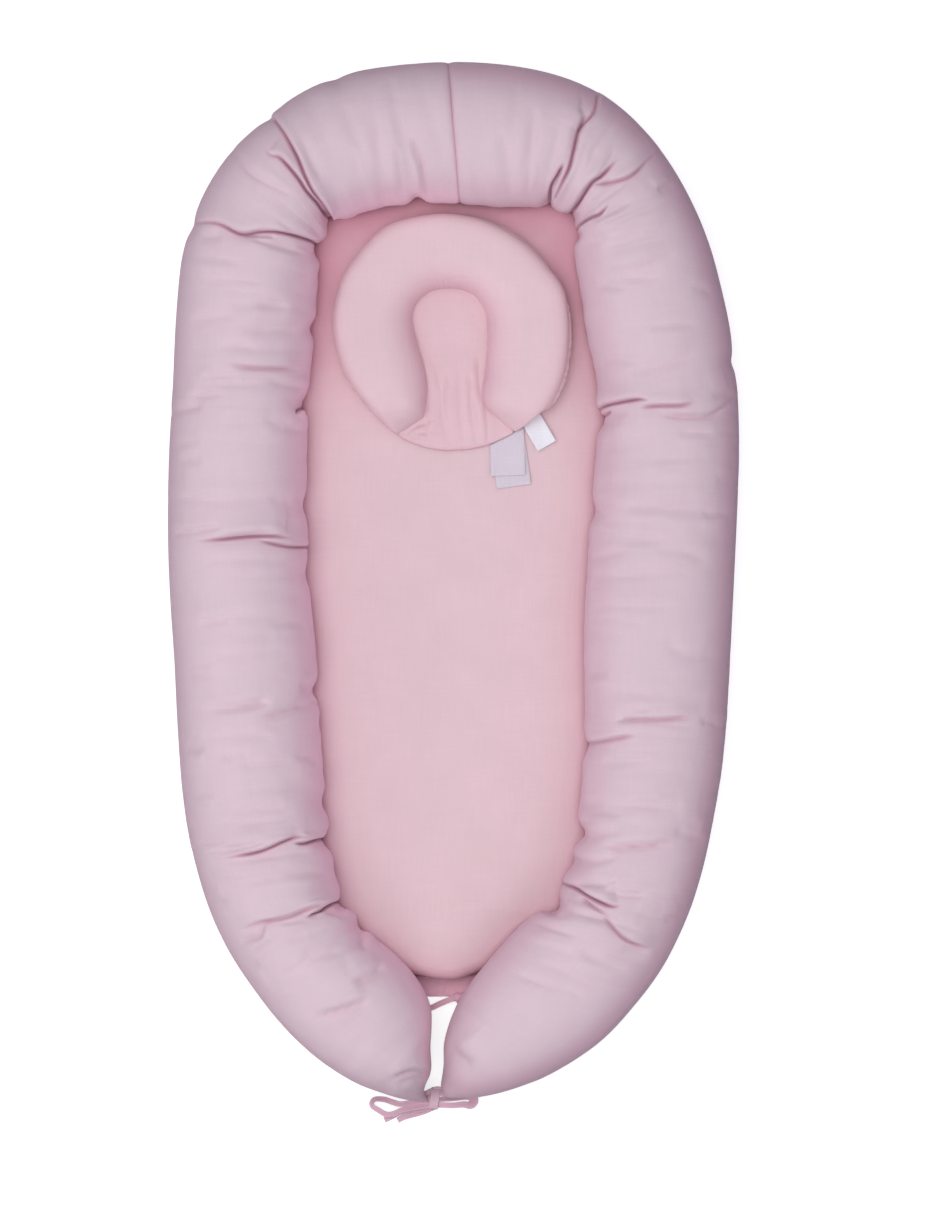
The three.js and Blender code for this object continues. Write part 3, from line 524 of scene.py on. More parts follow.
# Painted light: paler, pinker colour on the walls, where light from inside the well reaches them
PAINTED_LIGHT_PINK = (1.4, 1.14, 1.26)
PAINTED_LIGHT_START = 0.85
PAINTED_LIGHT_REACH = 0.75
# Painted light on the low outer side of the pillow's ring, and painted shade on its low inner side, at the
# keyhole panel's edge, down the middle of the bow's straps and in the head seam
RING_PAINTED_LIGHT = 0.8
RING_PAINTED_SHADE = 0.9
PANEL_EDGE_PAINTED_SHADE = 0.55
STRAP_PAINTED_SHADE = 0.6
SEAM_PAINTED_SHADE = 0.6

# Camera, sky, lamps with their places, sizes and powers, and floor, in metres
CAMERA_DISTANCE = 10.0
SKY_COLOUR = (0.70, 0.70, 0.76)
HORIZON_COLOUR = (0.22, 0.05, 0.24)
SKY_RISE = (0.3, 0.65)
LAMPS = {
    "overhead": ((-1.0, 0.35, 4.8), 3.4, 97),
    "side": ((-3.0, -0.8, 1.0), 1.6, 15),
    "foot": ((0, -3.0, 2.0), 2.0, 21),
}
FLOOR_SIZE = 60
FLOOR_DROP = 0.0005
FLOOR_PALE = (0.6, 0.6, 0.6)
FLOOR_BOUNCE = (0.12, 0.12, 0.12)
FLOOR_GLOW = 0.7


def plan(pixels):
    """Plan place in millimetres of a pixel, or of a list of them."""
    return (np.asarray(pixels, float) - ORIGIN_PIXEL) * (MM_PER_PIXEL, -MM_PER_PIXEL)


def edge(rows, which):
    """First or second edge of a list of paired pixels, in plan millimetres."""
    return plan([row[which] for row in rows])


def curve_through(points, at):
    """Catmull-Rom curve through points, at parameters that count the points."""
    points = np.asarray(points, float)
    at = np.clip(np.asarray(at, float), 0, len(points) - 1)
    i = np.minimum(at.astype(int), len(points) - 2)
    t = (at - i)[:, None]
    padded = np.vstack([2 * points[0] - points[1], points, 2 * points[-1] - points[-2]])
    a, b, c, d = (padded[i + k] for k in range(4))
    return 0.5 * (2 * b + (c - a) * t + (2 * a - 5 * b + 4 * c - d) * t**2 + (3 * b - a - 3 * c + d) * t**3)


def even_parameters(points, spacing):
    """Parameters of a curve through points that lie a spacing apart along it."""
    dense = np.linspace(0, len(points) - 1, 60 * len(points))
    steps = np.linalg.norm(np.diff(curve_through(points, dense), axis=0), axis=1)
    length = np.concatenate([[0], np.cumsum(steps)])
    count = max(2, int(round(length[-1] / spacing)))
    return np.interp(np.linspace(0, length[-1], count + 1), length, dense)


def even_curve(points, spacing):
    return curve_through(points, even_parameters(points, spacing))


def paired_curves(rows, spacing, full):
    """Half widths, middles and heights of a form between two edges, at places a spacing apart, and where
    those places lie among the rows."""
    outer, inner = edge(rows, 0), edge(rows, 1)
    height = np.array([[row[2]] for row in rows]) * full
    at = even_parameters((outer + inner) / 2, spacing)
    outer, inner, height = (curve_through(points, at) for points in (outer, inner, height))
    return (outer - inner)[:, None, :] / 2, (outer + inner)[:, None, :] / 2, height, at


def signed_power(value, power):
    return np.sign(value) * np.abs(value) ** power


def smooth(value):
    value = np.clip(value, 0, 1)
    return value * value * (3 - 2 * value)


def unit(vectors):
    return vectors / np.maximum(np.linalg.norm(vectors, axis=-1, keepdims=True), TINY)


def way(degrees):
    """Way in plan at an angle from +X."""
    return np.array([math.cos(math.radians(degrees)), math.sin(math.radians(degrees))])


def left_of(ways):
    """Ways in plan turned a quarter turn to the left."""
    return np.stack([-ways[..., 1], ways[..., 0]], -1)


def raised(xy, height):
    """Plan points with their heights."""
    return np.concatenate([xy, np.broadcast_to(height, xy.shape[:-1])[..., None]], -1)


def from_ends(count):
    """How many places each place of a row lies from its nearer end."""
    return np.minimum(np.arange(count), np.arange(count)[::-1])


def resample_section(section, count):
    """A closed section as a number of points that lie evenly along it."""
    steps = np.linalg.norm(np.diff(section, axis=0), axis=1)
    length = np.concatenate([[0], np.cumsum(steps)])
    at = np.linspace(0, length[-1], count + 1)[:-1]
    return np.stack([np.interp(at, length, section[:, k]) for k in range(section.shape[1])], 1)


def ripple(points, size, seed):
    """Soft noise from -1 to 1 at points in millimetres, with features of a size."""
    flat = points.reshape(-1, 3) / size + seed * 17.3
    values = [noise.noise(Vector(p)) for p in flat]
    return np.array(values).reshape(points.shape[:-1])


def grid_normals(grid, wrap):
    """Unit normals of a grid of points, whose second direction closes on itself where wrap is set."""
    around = np.roll(grid, -1, 1) - np.roll(grid, 1, 1) if wrap else np.gradient(grid, axis=1)
    return unit(np.cross(around, np.gradient(grid, axis=0)))


def distance_to_line(points, line):
    """Distance from plan points to a polyline, how far along it the nearest place is, from 0 to 1, and 1 for
    points on its left, -1 on its right."""
    best = np.full(points.shape[:-1], np.inf)
    along = np.zeros(points.shape[:-1])
    left = np.ones(points.shape[:-1])
    lengths = np.linalg.norm(np.diff(line, axis=0), axis=1)
    starts = np.concatenate([[0], np.cumsum(lengths)])
    for start, end, before, length in zip(line, line[1:], starts, lengths):
        ahead = (end - start) / length
        offset = points - start
        t = np.clip(offset @ ahead / length, 0, 1)
        gap = np.linalg.norm(offset - (t * length)[..., None] * ahead, axis=-1)
        nearer = gap < best
        best = np.where(nearer, gap, best)
        along = np.where(nearer, (before + t * length) / starts[-1], along)
        left = np.where(nearer, np.sign(ahead[0] * offset[..., 1] - ahead[1] * offset[..., 0]), left)
    return best, along, left


# Meshes


def cloth_lengths(grid, wrap):
    """Distance along the rows and along the columns of a grid, for the weave."""
    closed = np.concatenate([grid, grid[:, :1]], 1) if wrap else grid
    rows = np.linalg.norm(np.diff(closed, axis=0), axis=2).mean(1)
    columns = np.linalg.norm(np.diff(closed, axis=1), axis=2).mean(0)
    return np.concatenate([[0], np.cumsum(rows)]), np.concatenate([[0], np.cumsum(columns)])


def link_mesh(name, points, faces, corner_uvs):
    mesh = bpy.data.meshes.new(name)
    mesh.from_pydata((np.asarray(points) * METRES).tolist(), [], faces)
    cloth = mesh.uv_layers.new(name="cloth")
    cloth.data.foreach_set("uv", np.asarray(corner_uvs, float).ravel())
    piece = bpy.data.objects.new(name, mesh)
    bpy.context.scene.collection.objects.link(piece)
    mesh.shade_smooth()
    return piece


def mesh_from_grid(name, grid, wrap=False, caps=False, plan_weave=False):
    rows, columns = grid.shape[:2]
    index = np.arange(rows * columns).reshape(rows, columns)
    last = columns if wrap else columns - 1
    right = np.roll(index, -1, 1)
    quads = [index[:-1, :last], right[:-1, :last], right[1:, :last], index[1:, :last]]
    faces = np.stack(quads, 2).reshape(-1, 4).tolist()
    u, v = cloth_lengths(grid, wrap)
    if plan_weave:
        corner_uvs = grid.reshape(-1, 3)[np.array(faces).ravel(), :2]
    else:
        us, vs = np.meshgrid(u, v, indexing="ij")
        both = np.stack([us, vs], 2)
        corners = [both[:-1, :last], both[:-1, 1 : last + 1], both[1:, 1 : last + 1], both[1:, :last]]
        corner_uvs = np.stack(corners, 2).reshape(-1, 2)
    if caps:
        for ring in (index[0, ::-1], index[-1]):
            faces.append(ring.tolist())
            corner_uvs = np.vstack([corner_uvs, grid.reshape(-1, 3)[ring, :2]])
    return link_mesh(name, grid.reshape(-1, 3), faces, corner_uvs)


def slab_from_grid(name, grid, thickness):
    """A sheet of cloth with a rounded rim, whose middle surface is a grid."""
    rows, columns = grid.shape[:2]
    count = rows * columns
    normal = grid_normals(grid, wrap=False)
    if normal[..., 2].mean() < 0:
        normal = -normal
    top = (grid + normal * thickness / 2).reshape(-1, 3)
    bottom = (grid - normal * thickness / 2).reshape(-1, 3)
    index = np.arange(count).reshape(rows, columns)
    border = np.concatenate([index[0, :-1], index[:-1, -1], index[-1, :0:-1], index[:0:-1, 0]])
    rim = grid.reshape(-1, 3)[border]
    along = np.roll(rim, -1, 0) - np.roll(rim, 1, 0)
    outward = unit(np.cross(along, normal.reshape(-1, 3)[border]))
    if ((rim - rim.mean(0)) * outward).sum() < 0:
        outward = -outward
    rim = rim + outward * thickness * RIM_ROUNDING
    quads = np.stack([index[:-1, :-1], index[:-1, 1:], index[1:, 1:], index[1:, :-1]], 2).reshape(-1, 4)
    faces = quads.tolist() + (quads[:, ::-1] + count).tolist()
    rim_index = 2 * count + np.arange(len(border))
    following, rim_following = np.roll(border, -1), np.roll(rim_index, -1)
    faces += np.stack([following, border, rim_index, rim_following], 1).tolist()
    faces += np.stack([rim_following, rim_index, border + count, following + count], 1).tolist()
    points = np.vstack([top, bottom, rim])
    piece = link_mesh(name, points, faces, points[np.array(faces).ravel(), :2])
    sewn = bmesh.new()
    sewn.from_mesh(piece.data)
    bmesh.ops.recalc_face_normals(sewn, faces=sewn.faces)
    sewn.to_mesh(piece.data)
    sewn.free()
    return piece


def mark_points(piece, name, marks):
    """A value from 0 to 1 at each point for the material: how deep the painted shade's pink is, how dark a
    crease's painted shade is, or how strong the painted light is.
    """
    values = piece.data.attributes.new(name, "FLOAT", "POINT")
    values.data.foreach_set("value", np.clip(marks, 0, 1).ravel())


def join_pieces(name, pieces):
    bpy.ops.object.select_all(action="DESELECT")
    for piece in pieces:
        piece.select_set(True)
    bpy.context.view_layer.objects.active = pieces[0]
    bpy.ops.object.join()
    pieces[0].name = name
    return pieces[0]


def finish_piece(piece, material, body, nodes):
    piece.data.materials.append(material)
    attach(piece, body)
    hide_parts(*nodes)


# Bolster


def unit_section():
    """Section of the bolster as (across, up) pairs from -1 to 1: outer side, top, inner side, underside."""
    angle = np.linspace(0, 2 * math.pi, 2001)
    power = np.where(np.sin(angle) > 0, 2 / TOP_SQUARENESS, 2 / BOTTOM_SQUARENESS)
    section = np.stack([signed_power(np.cos(angle), power), signed_power(np.sin(angle), power)], 1)
    return resample_section(section, RING_SIDES)


def bolster_grid():
    """Points of the bolster's cover, ring by ring from the left tip over the head to the right tip, and the
    ring at the head seam."""
    rows = LEFT_PAIRS[::-1] + RIGHT_PAIRS[1:]
    across, middle, height, at = paired_curves(rows, RING_SPACING, BOLSTER_HEIGHT)
    section = unit_section()
    waist = height * WAIST_SHARE
    rise = np.where(section[:, 1] > 0, height - waist, waist + FLOOR_SINK)
    z = np.maximum(waist + rise * section[:, 1], FLOOR_GAP)
    seam_ring = int(np.argmin(np.abs(at - (len(LEFT_PAIRS) - 1))))
    return raised(middle + across * section[:, 0][None, :, None], z), seam_ring


def pinch_bolster(grid):
    """The bolster with the pinches pressed into its inner wall, and how firmly each point is held there."""
    push = np.zeros(grid.shape[:2])
    held = np.zeros(grid.shape[:2])
    for pixel, depth, width in NOTCHES:
        distance = np.linalg.norm(grid[..., :2] - plan(pixel), axis=2)
        height = (grid[..., 2] - BOLSTER_HEIGHT * WAIST_SHARE) / NOTCH_HEIGHT
        near = np.exp(-((distance / width) ** 2) / 2 - height**2)
        push += depth * near
        held = np.maximum(held, near)
    return grid - grid_normals(grid, wrap=True) * push[..., None], held


def fold_share(along, start, end):
    """How much of a fold is left along its line, which runs from 0 to 1."""
    near, far = FADE_REACHES
    return (start + (1 - start) * smooth(along / near)) * (end + (1 - end) * smooth((1 - along) / far))


def fold_height(side_distance, depth, width):
    """Height across a fold, at a distance from its line that is positive on the ridge's side."""
    low, high = CRISP_DEPTHS
    crisp = smooth((depth - low) / (high - low))
    line_width = CREASE_WIDTH * crisp + SOFT_LINE_WIDTH * width * (1 - crisp)
    off = np.abs(side_distance)
    line = -(FOLD_LINE + CRISP_LINE * crisp) * np.exp(-((off / line_width) ** 2))
    valley = -VALLEY * np.exp(-off / (VALLEY_REACH * width)) * (side_distance < 0)
    ridge = RIDGE * off / width * np.exp(1 - off / width) * (side_distance > 0)
    return depth * (line + (valley + ridge) * (1 - np.exp(-((off / (CREASE_CLEAR * CREASE_WIDTH)) ** 2))))


def fold_painted_shade(side_distance, depth, width):
    """How deep the painted shade's pink is across a fold, deepest in its line and less on its low side, and
    how dark the painted shade in the line of a crisp fold is."""
    off = np.abs(side_distance)
    line = smooth((depth - PAINTED_SHADE_DEPTH) / MARK_DEPTH_SPAN) * np.exp(-((off / PAINTED_SHADE_LINE_WIDTH) ** 2))
    below = side_distance < 0
    low = LOW_SIDE_PAINTED_SHADE * smooth(depth / LOW_SIDE_DEPTH) * np.exp(-off / (LOW_SIDE_REACH * width)) * below
    dark = smooth((depth - PAINTED_CREASE_DEPTH) / MARK_DEPTH_SPAN) * np.exp(-((off / PAINTED_CREASE_LINE_WIDTH) ** 2))
    return line + low, dark


def scatter_folds(half, seed, away):
    """Small soft folds across a half of the cover, at places drawn at random between two shares of it."""
    draw = np.random.default_rng(seed)
    across = unit_section()[:, 0]
    top = np.flatnonzero(unit_section()[:, 1] > 0)
    order = top[np.argsort(across[top])]
    folds = []
    for _ in range(SMALL_FOLDS):
        row = draw.uniform(*away) * len(half)
        slope = draw.normal(0, SMALL_FOLD_SLOPE)
        ends = np.sort(draw.uniform(*SMALL_FOLD_PLACES, 2))
        reach = np.clip(ends[1] - ends[0], *SMALL_FOLD_REACHES)
        start = min(ends[0], SMALL_FOLD_PLACES[1] - reach)
        line = []
        for part in np.linspace(0, 1, SMALL_FOLD_POINTS):
            column = order[int((start + reach * part) * (len(order) - 1))]
            place = row + slope * (part - 0.5) + draw.normal(0, SMALL_FOLD_SHAKE)
            place = np.clip(place, 0, len(half) - 1.001)
            low = int(place)
            line.append(half[low, column, :2] * (1 - place + low) + half[low + 1, column, :2] * (place - low))
        depth = draw.uniform(*SMALL_FOLD_DEPTHS)
        side = draw.choice((-1, 1))
        folds.append((depth, draw.uniform(*SMALL_FOLD_WIDTHS), side, 0, 0, np.array(line)))
    return folds


def press_folds(half, folds):
    """How far the folds push each point of a half of the cover, and how deep the painted shade's pink and how
    dark the creases' painted shade are there."""
    push, flush, crease = np.zeros((3, *half.shape[:2]))
    for depth, width, side, start, end, line in folds:
        distance, along, left = distance_to_line(half[..., :2], even_curve(line, FOLD_POINT_SPACING))
        share = fold_share(along, start, end)
        near = distance < FOLD_REACH * width
        push += np.where(near, share * fold_height(distance * left * side, depth, width), 0)
        pink, dark = fold_painted_shade(distance * left * side, depth, width)
        flush = np.maximum(flush, np.where(near, share * pink, 0))
        crease = np.maximum(crease, np.where(near, share**0.5 * dark, 0))
    return push, flush, crease


def fold_cover(name, half, folds):
    """One half of the cover with its folds and a light crumple, and its painted light and shade: how deep the
    painted shade's pink is at each point, how dark the creases' painted shade is and how strong its painted
    light is."""
    normal = grid_normals(half, wrap=True)
    facing_up = FOLD_WALL_SHARE + (1 - FOLD_WALL_SHARE) * smooth(normal[..., 2] / FOLD_TOP)
    facing_up *= smooth((normal[..., 2] - FOLD_UNDERSIDE) / FOLD_UNDERSIDE_RUN)
    push, flush, crease = press_folds(half, folds)
    around = np.linspace(0, 1, half.shape[1], endpoint=False)
    patchy = smooth(ripple(half, *CRUMPLE_PATCHES) * CRUMPLE_CONTRAST + 0.5)
    for depth, row_size, turns, seed in CRUMPLES:
        place = np.stack(np.meshgrid(row_lengths(half) / row_size, around * turns, indexing="ij"), 2)
        push += depth * ripple(raised(place, 0), 1, seed) * patchy
    inward = (1 - np.interp(around * RING_SIDES, np.arange(RING_SIDES), unit_section()[:, 0])) / 2
    inside = smooth((inward - INNER_SIDE_START) / INNER_SIDE_RUN)[None, :]
    # Painted shade on the steep outside of each half and on its steep inner slopes, and on the inner wall of
    # the right half
    amount, start, full = OUTSIDE_PAINTED_SHADES[name]
    wall = (1 - inside) * amount * smooth((start - normal[..., 2]) / (start - full))
    glow = 0 * flush
    # Painted light: the inner wall of the left half is made paler and pinker
    if name == "bolster_left":
        glow = inside * smooth((PAINTED_LIGHT_START - normal[..., 2]) / PAINTED_LIGHT_REACH)
    else:
        wall += inside * WALL_PAINTED_SHADE * smooth((WALL_PAINTED_SHADE_START - normal[..., 2]) / WALL_PAINTED_SHADE_START)
    wall = np.maximum(wall, inside * SLOPE_PAINTED_SHADE * smooth((1 - normal[..., 2]) / SLOPE_REACH))
    marks = {"flush": np.maximum(flush, wall), "crease": crease, "glow": glow}
    return half + normal * (push * facing_up)[..., None], marks


def row_lengths(grid):
    """How far along a grid each of its rows lies."""
    steps = np.linalg.norm(np.diff(grid.mean(1), axis=0), axis=1)
    return np.concatenate([[0], np.cumsum(steps)])


def cloth_links(grid, slack):
    """Sets of links between points of a closed grid: both ends, rest length and stiffness. No two links of
    a set share a point."""
    rows, columns = grid.shape[:2]
    index = np.arange(rows * columns).reshape(rows, columns)
    points = grid.reshape(-1, 3)
    links = []
    for down, across, stiffness in CLOTH_LINKS:
        start = index[: rows - down]
        end = np.roll(index, -across, 1)[down:]
        stretch = 1 + (slack[: rows - down] - 1) / (1 + abs(across)) if down else 1
        rest = np.linalg.norm(points[end] - points[start], axis=2) * stretch
        for parity in (0, 1):
            if down:
                chosen = np.flatnonzero((np.arange(rows - down) // down) % 2 == parity)
            else:
                chosen = np.flatnonzero((np.arange(columns) // across) % 2 == parity)
            picked = [np.take(part, chosen, 0 if down else 1).ravel() for part in (start, end, rest)]
            links.append((*picked, stiffness))
    return links


def relax_cloth(grid, slack, free):
    """A cloth simulation on a closed grid: cloth cut longer than its place by slack, puffed from inside."""
    links = cloth_links(grid, slack)
    start = grid.reshape(-1, 3)
    free = free.ravel()
    wake = grid_normals(grid, wrap=True) * ripple(grid, *WAKE_RIPPLE)[..., None] * CLOTH_WAKE
    points = start + wake.reshape(-1, 3) * free[:, None]
    speed = np.zeros_like(points)
    for _ in range(PUFF_STEPS):
        shape = points.reshape(grid.shape)
        push = np.cross(np.roll(shape, -1, 1) - np.roll(shape, 1, 1), np.gradient(shape, axis=0))
        before = points.copy()
        points = points + (CLOTH_KEPT_SPEED * speed + PUFF_PRESSURE * push.reshape(-1, 3)) * free[:, None]
        for a, b, rest, stiffness in links:
            span = points[b] - points[a]
            length = np.sqrt((span * span).sum(1))
            weight = np.maximum(free[a] + free[b], CLOTH_LEAST)
            move = (stiffness * (length - rest) / np.maximum(length, CLOTH_LEAST) / weight)[:, None] * span
            points[a] += free[a][:, None] * move
            points[b] -= free[b][:, None] * move
        travel = points - start
        far = np.sqrt((travel * travel).sum(1))
        points = start + travel * np.minimum(1, PUFF_CAP / np.maximum(far, CLOTH_LEAST))[:, None]
        points[:, 2] = np.maximum(points[:, 2], FLOOR_GAP)
        speed = points - before
    return points.reshape(grid.shape)


def dense_rows(grid, folds):
    """Places of the rows of a finer grid: close together where a crisp fold runs."""
    near = np.zeros(len(grid))
    for depth, _, _, _, _, line in folds:
        if depth < CRISP_DEPTHS[1] * DENSE_CRISP_SHARE:
            continue
        distance = distance_to_line(grid[..., :2], line)[0]
        near = np.maximum(near, np.exp(-((distance.min(1) / DENSE_REACH) ** 2)))
    density = 1 / DENSE_SPACING + (1 / CREASE_SPACING - 1 / DENSE_SPACING) * near
    lengths = row_lengths(grid)
    count = np.concatenate([[0], np.cumsum(np.diff(lengths) * (density[1:] + density[:-1]) / 2)])
    return np.interp(np.linspace(0, count[-1], int(count[-1]) + 1), count, np.arange(len(grid)))


def resample_grid(grid, rows, columns):
    """The surface of a closed grid with its rows at other places and another count of columns."""
    count = grid.shape[1]
    down = curve_through(grid.reshape(len(grid), -1), rows)
    turned = down.reshape(len(rows), count, 3).transpose(1, 0, 2)
    closed = np.concatenate([turned[-1:], turned, turned[:2]])
    at = 1 + np.arange(columns) * count / columns
    across = curve_through(closed.reshape(count + 3, -1), at)
    return across.reshape(columns, len(rows), 3).transpose(1, 0, 2)


def turned_in(half, marks, at_end):
    """A half of the bolster whose edge at the head seam rounds down and turns in."""
    away = row_lengths(half)[:, None]
    if at_end:
        away = away[-1] - away
    seam = np.exp(-((away / HEAD_SEAM_REACH) ** 2))
    half = half - grid_normals(half, wrap=True) * (HEAD_SEAM_DEPTH * seam)[..., None]
    last = -1 if at_end else 0
    middle = half[last].mean(0)
    inside = middle + (half[last] - middle) * HEAD_SEAM_TURN
    # Painted shade in the groove of the head seam
    marks["flush"] = np.maximum(marks["flush"], SEAM_PAINTED_SHADE * seam)

    def lengthened(rows, row):
        return np.concatenate([rows, row[None]] if at_end else [row[None], rows])

    marks = {name: lengthened(mark, mark[last]) for name, mark in marks.items()}
    return lengthened(half, inside), marks


def puff_bolster(grid, held):
    """The bolster's cover let go over its stuffing, with more cloth at the inner side than it has room for.
    What it gains evenly over a long stretch is taken off again, so that the outline stays."""
    free = smooth((grid[..., 2] - BASE_HOLD_HEIGHT) / BASE_HOLD_HEIGHT) * (1 - PINCH_HOLD * held)
    from_tips = from_ends(len(grid)) * RING_SPACING
    away = smooth((from_tips - TIP_STILL) / TIP_STILL / 2)[:, None]
    free *= away * (1 - TIP_FREEDOM) + TIP_FREEDOM
    steps = np.linalg.norm(np.diff(grid, axis=0), axis=2)
    fan = 1 - steps.min(1) / steps.max(1)
    fan = np.append(fan, fan[-1])[:, None]
    uneven = np.maximum(ripple(grid, *SLACK_RIPPLE) + SLACK_LIFT, 0)
    inward = (1 - unit_section()[:, 0]) / 2
    slack = (INNER_SLACK * uneven + CORNER_SLACK * fan) * (OUTER_SLACK_SHARE + inward[None, :])
    slack = 1 + slack * smooth((from_tips - TIP_TAUT) / TIP_TAUT)[:, None]
    free *= 1 - INNER_HOLD * smooth((inward - INNER_HOLD_START) / INNER_HOLD_RUN)[None, :]
    travel = relax_cloth(grid, slack, free) - grid
    window = np.hanning(2 * PUFF_SPREAD_ROWS + 1)
    ends = np.pad(travel, ((PUFF_SPREAD_ROWS, PUFF_SPREAD_ROWS), (0, 0), (0, 0)), mode="edge")
    spread = sum(part * ends[k : k + len(grid)] for k, part in enumerate(window)) / window.sum()
    return grid + travel - spread


def add_bolster(cotton):
    grid, seam = bolster_grid()
    grid, held = pinch_bolster(grid)
    grid = puff_bolster(grid, held)
    for name, half, at_end, folds, nodes, seed in (
        ("bolster_left", grid[: seam + 1], True, LEFT_FOLDS, ("bolster_cover_left", "bolster_filling"), 11),
        ("bolster_right", grid[seam:], False, RIGHT_FOLDS, ("bolster_cover_right",), 12),
    ):
        folds = [(*row[:5], plan(row[5])) for row in folds]
        folds += scatter_folds(half, seed, SMALL_FOLD_ROWS[name])
        half = resample_grid(half, dense_rows(half, folds), DENSE_SIDES)
        half, marks = turned_in(*fold_cover(name, half, folds), at_end)
        piece = mesh_from_grid(name, half, wrap=True, caps=True)
        for mark, values in marks.items():
            mark_points(piece, mark, values)
        finish_piece(piece, cotton, "nest", nodes)


# Mattress


def mattress_outline():
    left, right = edge(LEFT_PAIRS[:22], 1), edge(RIGHT_PAIRS[1:21], 1)
    outline = np.vstack([left, plan(MATTRESS_FOOT), right[::-1], left[:1]])
    outline = even_curve(outline, MATTRESS_POINT_SPACING)[:-1]
    outward = unit(left_of(np.roll(outline, 1, 0) - np.roll(outline, -1, 0)))
    if ((outline - outline.mean(0)) * outward).sum() < 0:
        outward = -outward
    low, high = MATTRESS_TUCK_ENDS
    tucked = smooth((outline[:, 1:] - low) / (high - low))
    under = np.full(len(outline), MATTRESS_UNDER)
    for pixel, depth, width in NOTCHES:
        near = np.linalg.norm(outline - plan(pixel), axis=1) / (PINCH_SPREAD * width)
        under += PINCH_SHARE * depth * np.exp(-(near**2) / 2)
    return outline + outward * under[:, None] * tucked


def mattress_painted_shade(grid, outline):
    """Painted shade: deep pink towards the mattress's rim, most at its head and foot, where the bolster
    stands all round and shades it.
    """
    closed = np.vstack([outline, outline[:1]])
    rim = distance_to_line(grid[..., :2], closed)[0]
    y = grid[..., 1]
    head = smooth((y - HEAD_PAINTED_SHADE[0]) / (HEAD_PAINTED_SHADE[1] - HEAD_PAINTED_SHADE[0]))
    foot = smooth((FOOT_PAINTED_SHADE[0] - y) / (FOOT_PAINTED_SHADE[0] - FOOT_PAINTED_SHADE[1]))
    sides = (1 - head) * (SIDE_PAINTED_SHADE_SHARE + (1 - SIDE_PAINTED_SHADE_SHARE) * foot) * np.exp(-rim / SIDE_PAINTED_SHADE_REACH)
    return head * np.exp(-((rim / HEAD_PAINTED_SHADE_REACH) ** 2)) + sides


def add_mattress(cotton):
    outline = mattress_outline()
    low, high = MATTRESS_SPINE_ENDS
    share = np.clip((outline[:, 1] - low[1]) / (high[1] - low[1]), 0, 1)[:, None]
    inward = np.array(low) + (np.array(high) - low) * share - outline
    reach = np.linalg.norm(inward, axis=1, keepdims=True)
    direction = inward / reach

    def ring(inset, height):
        return raised(outline + direction * inset, height)

    rings = [ring(inset, height) for inset, height in MATTRESS_TOP_PROFILE]
    edge_inset, edge_height = MATTRESS_TOP_PROFILE[-1]
    for part in np.linspace(0, 0.99, MATTRESS_TOP_RINGS)[1:]:
        inset = edge_inset + (reach - edge_inset) * part
        crown = np.sin(np.clip((inset - edge_inset) / MATTRESS_CROWN_RUN, 0, 1) * math.pi / 2)
        rings.append(ring(inset, (edge_height + (MATTRESS_TOP - edge_height) * crown)[:, 0]))
    grid = np.stack(rings)
    amount = MATTRESS_WAVE_HEIGHT * smooth((grid[..., 2] - MATTRESS_WAVE_START) / MATTRESS_WAVE_RUN)
    grid[..., 2] += ripple(grid * (1, 1, 0), *MATTRESS_WAVE) * amount
    top = mesh_from_grid("mattress_top", grid, wrap=True, caps=True, plan_weave=True)
    mark_points(top, "flush", mattress_painted_shade(grid, outline))
    finish_piece(top, cotton, "mattress", ("mattress_cover_top", "mattress_core"))
    rings = [ring(inset, height) for inset, height in MATTRESS_UNDER_PROFILE]
    last = MATTRESS_UNDER_PROFILE[-1][0]
    rings += [ring(last + (reach - last) * part, MATTRESS_BASE) for part in MATTRESS_UNDER_SHARES]
    grid = np.stack(rings)[:, ::-1]
    bottom = mesh_from_grid("mattress_bottom", grid, wrap=True, caps=True, plan_weave=True)
    finish_piece(bottom, cotton, "mattress", ("mattress_cover_bottom",))


# Pillow


def clear_of_labels(grid):
    """Part of the pillow whose edge is moved in where a label is sewn on, so that it folds up beside it."""
    for width, _, angle, _, height, _ in LABELS.values():
        radial = way(angle)
        offset = grid[..., :2] - PILLOW_CENTRE
        beside = np.abs(offset @ left_of(radial))
        room = LABEL_ROOT - LABEL_GAP + LABEL_LEAN * (grid[..., 2] - height)
        over = np.logaddexp(0, (offset @ radial - room) / LABEL_SOFTNESS) * LABEL_SOFTNESS
        over *= smooth((width / 2 + LABEL_MARGIN - beside) / LABEL_MARGIN)
        grid = raised(grid[..., :2] - radial * over[..., None], grid[..., 2])
    return grid


def horseshoe_section():
    """Section of the stuffed ring as (across, up) pairs: steep at the outer edge, gentle at the inner one."""
    across = np.cos(np.linspace(0, math.pi, 1001))
    outside = (1 - np.clip(across, 0, 1) ** RING_OUTER_SQUARENESS) ** (1 / RING_OUTER_SQUARENESS)
    inside = (1 - np.clip(-across, 0, 1) ** RING_INNER_SQUARENESS) ** (1 / RING_INNER_SQUARENESS)
    top = np.stack([across, np.minimum(outside, inside)], 1)
    closed = np.vstack([top, top[:1]])
    return resample_section(closed, PILLOW_RING_SIDES)


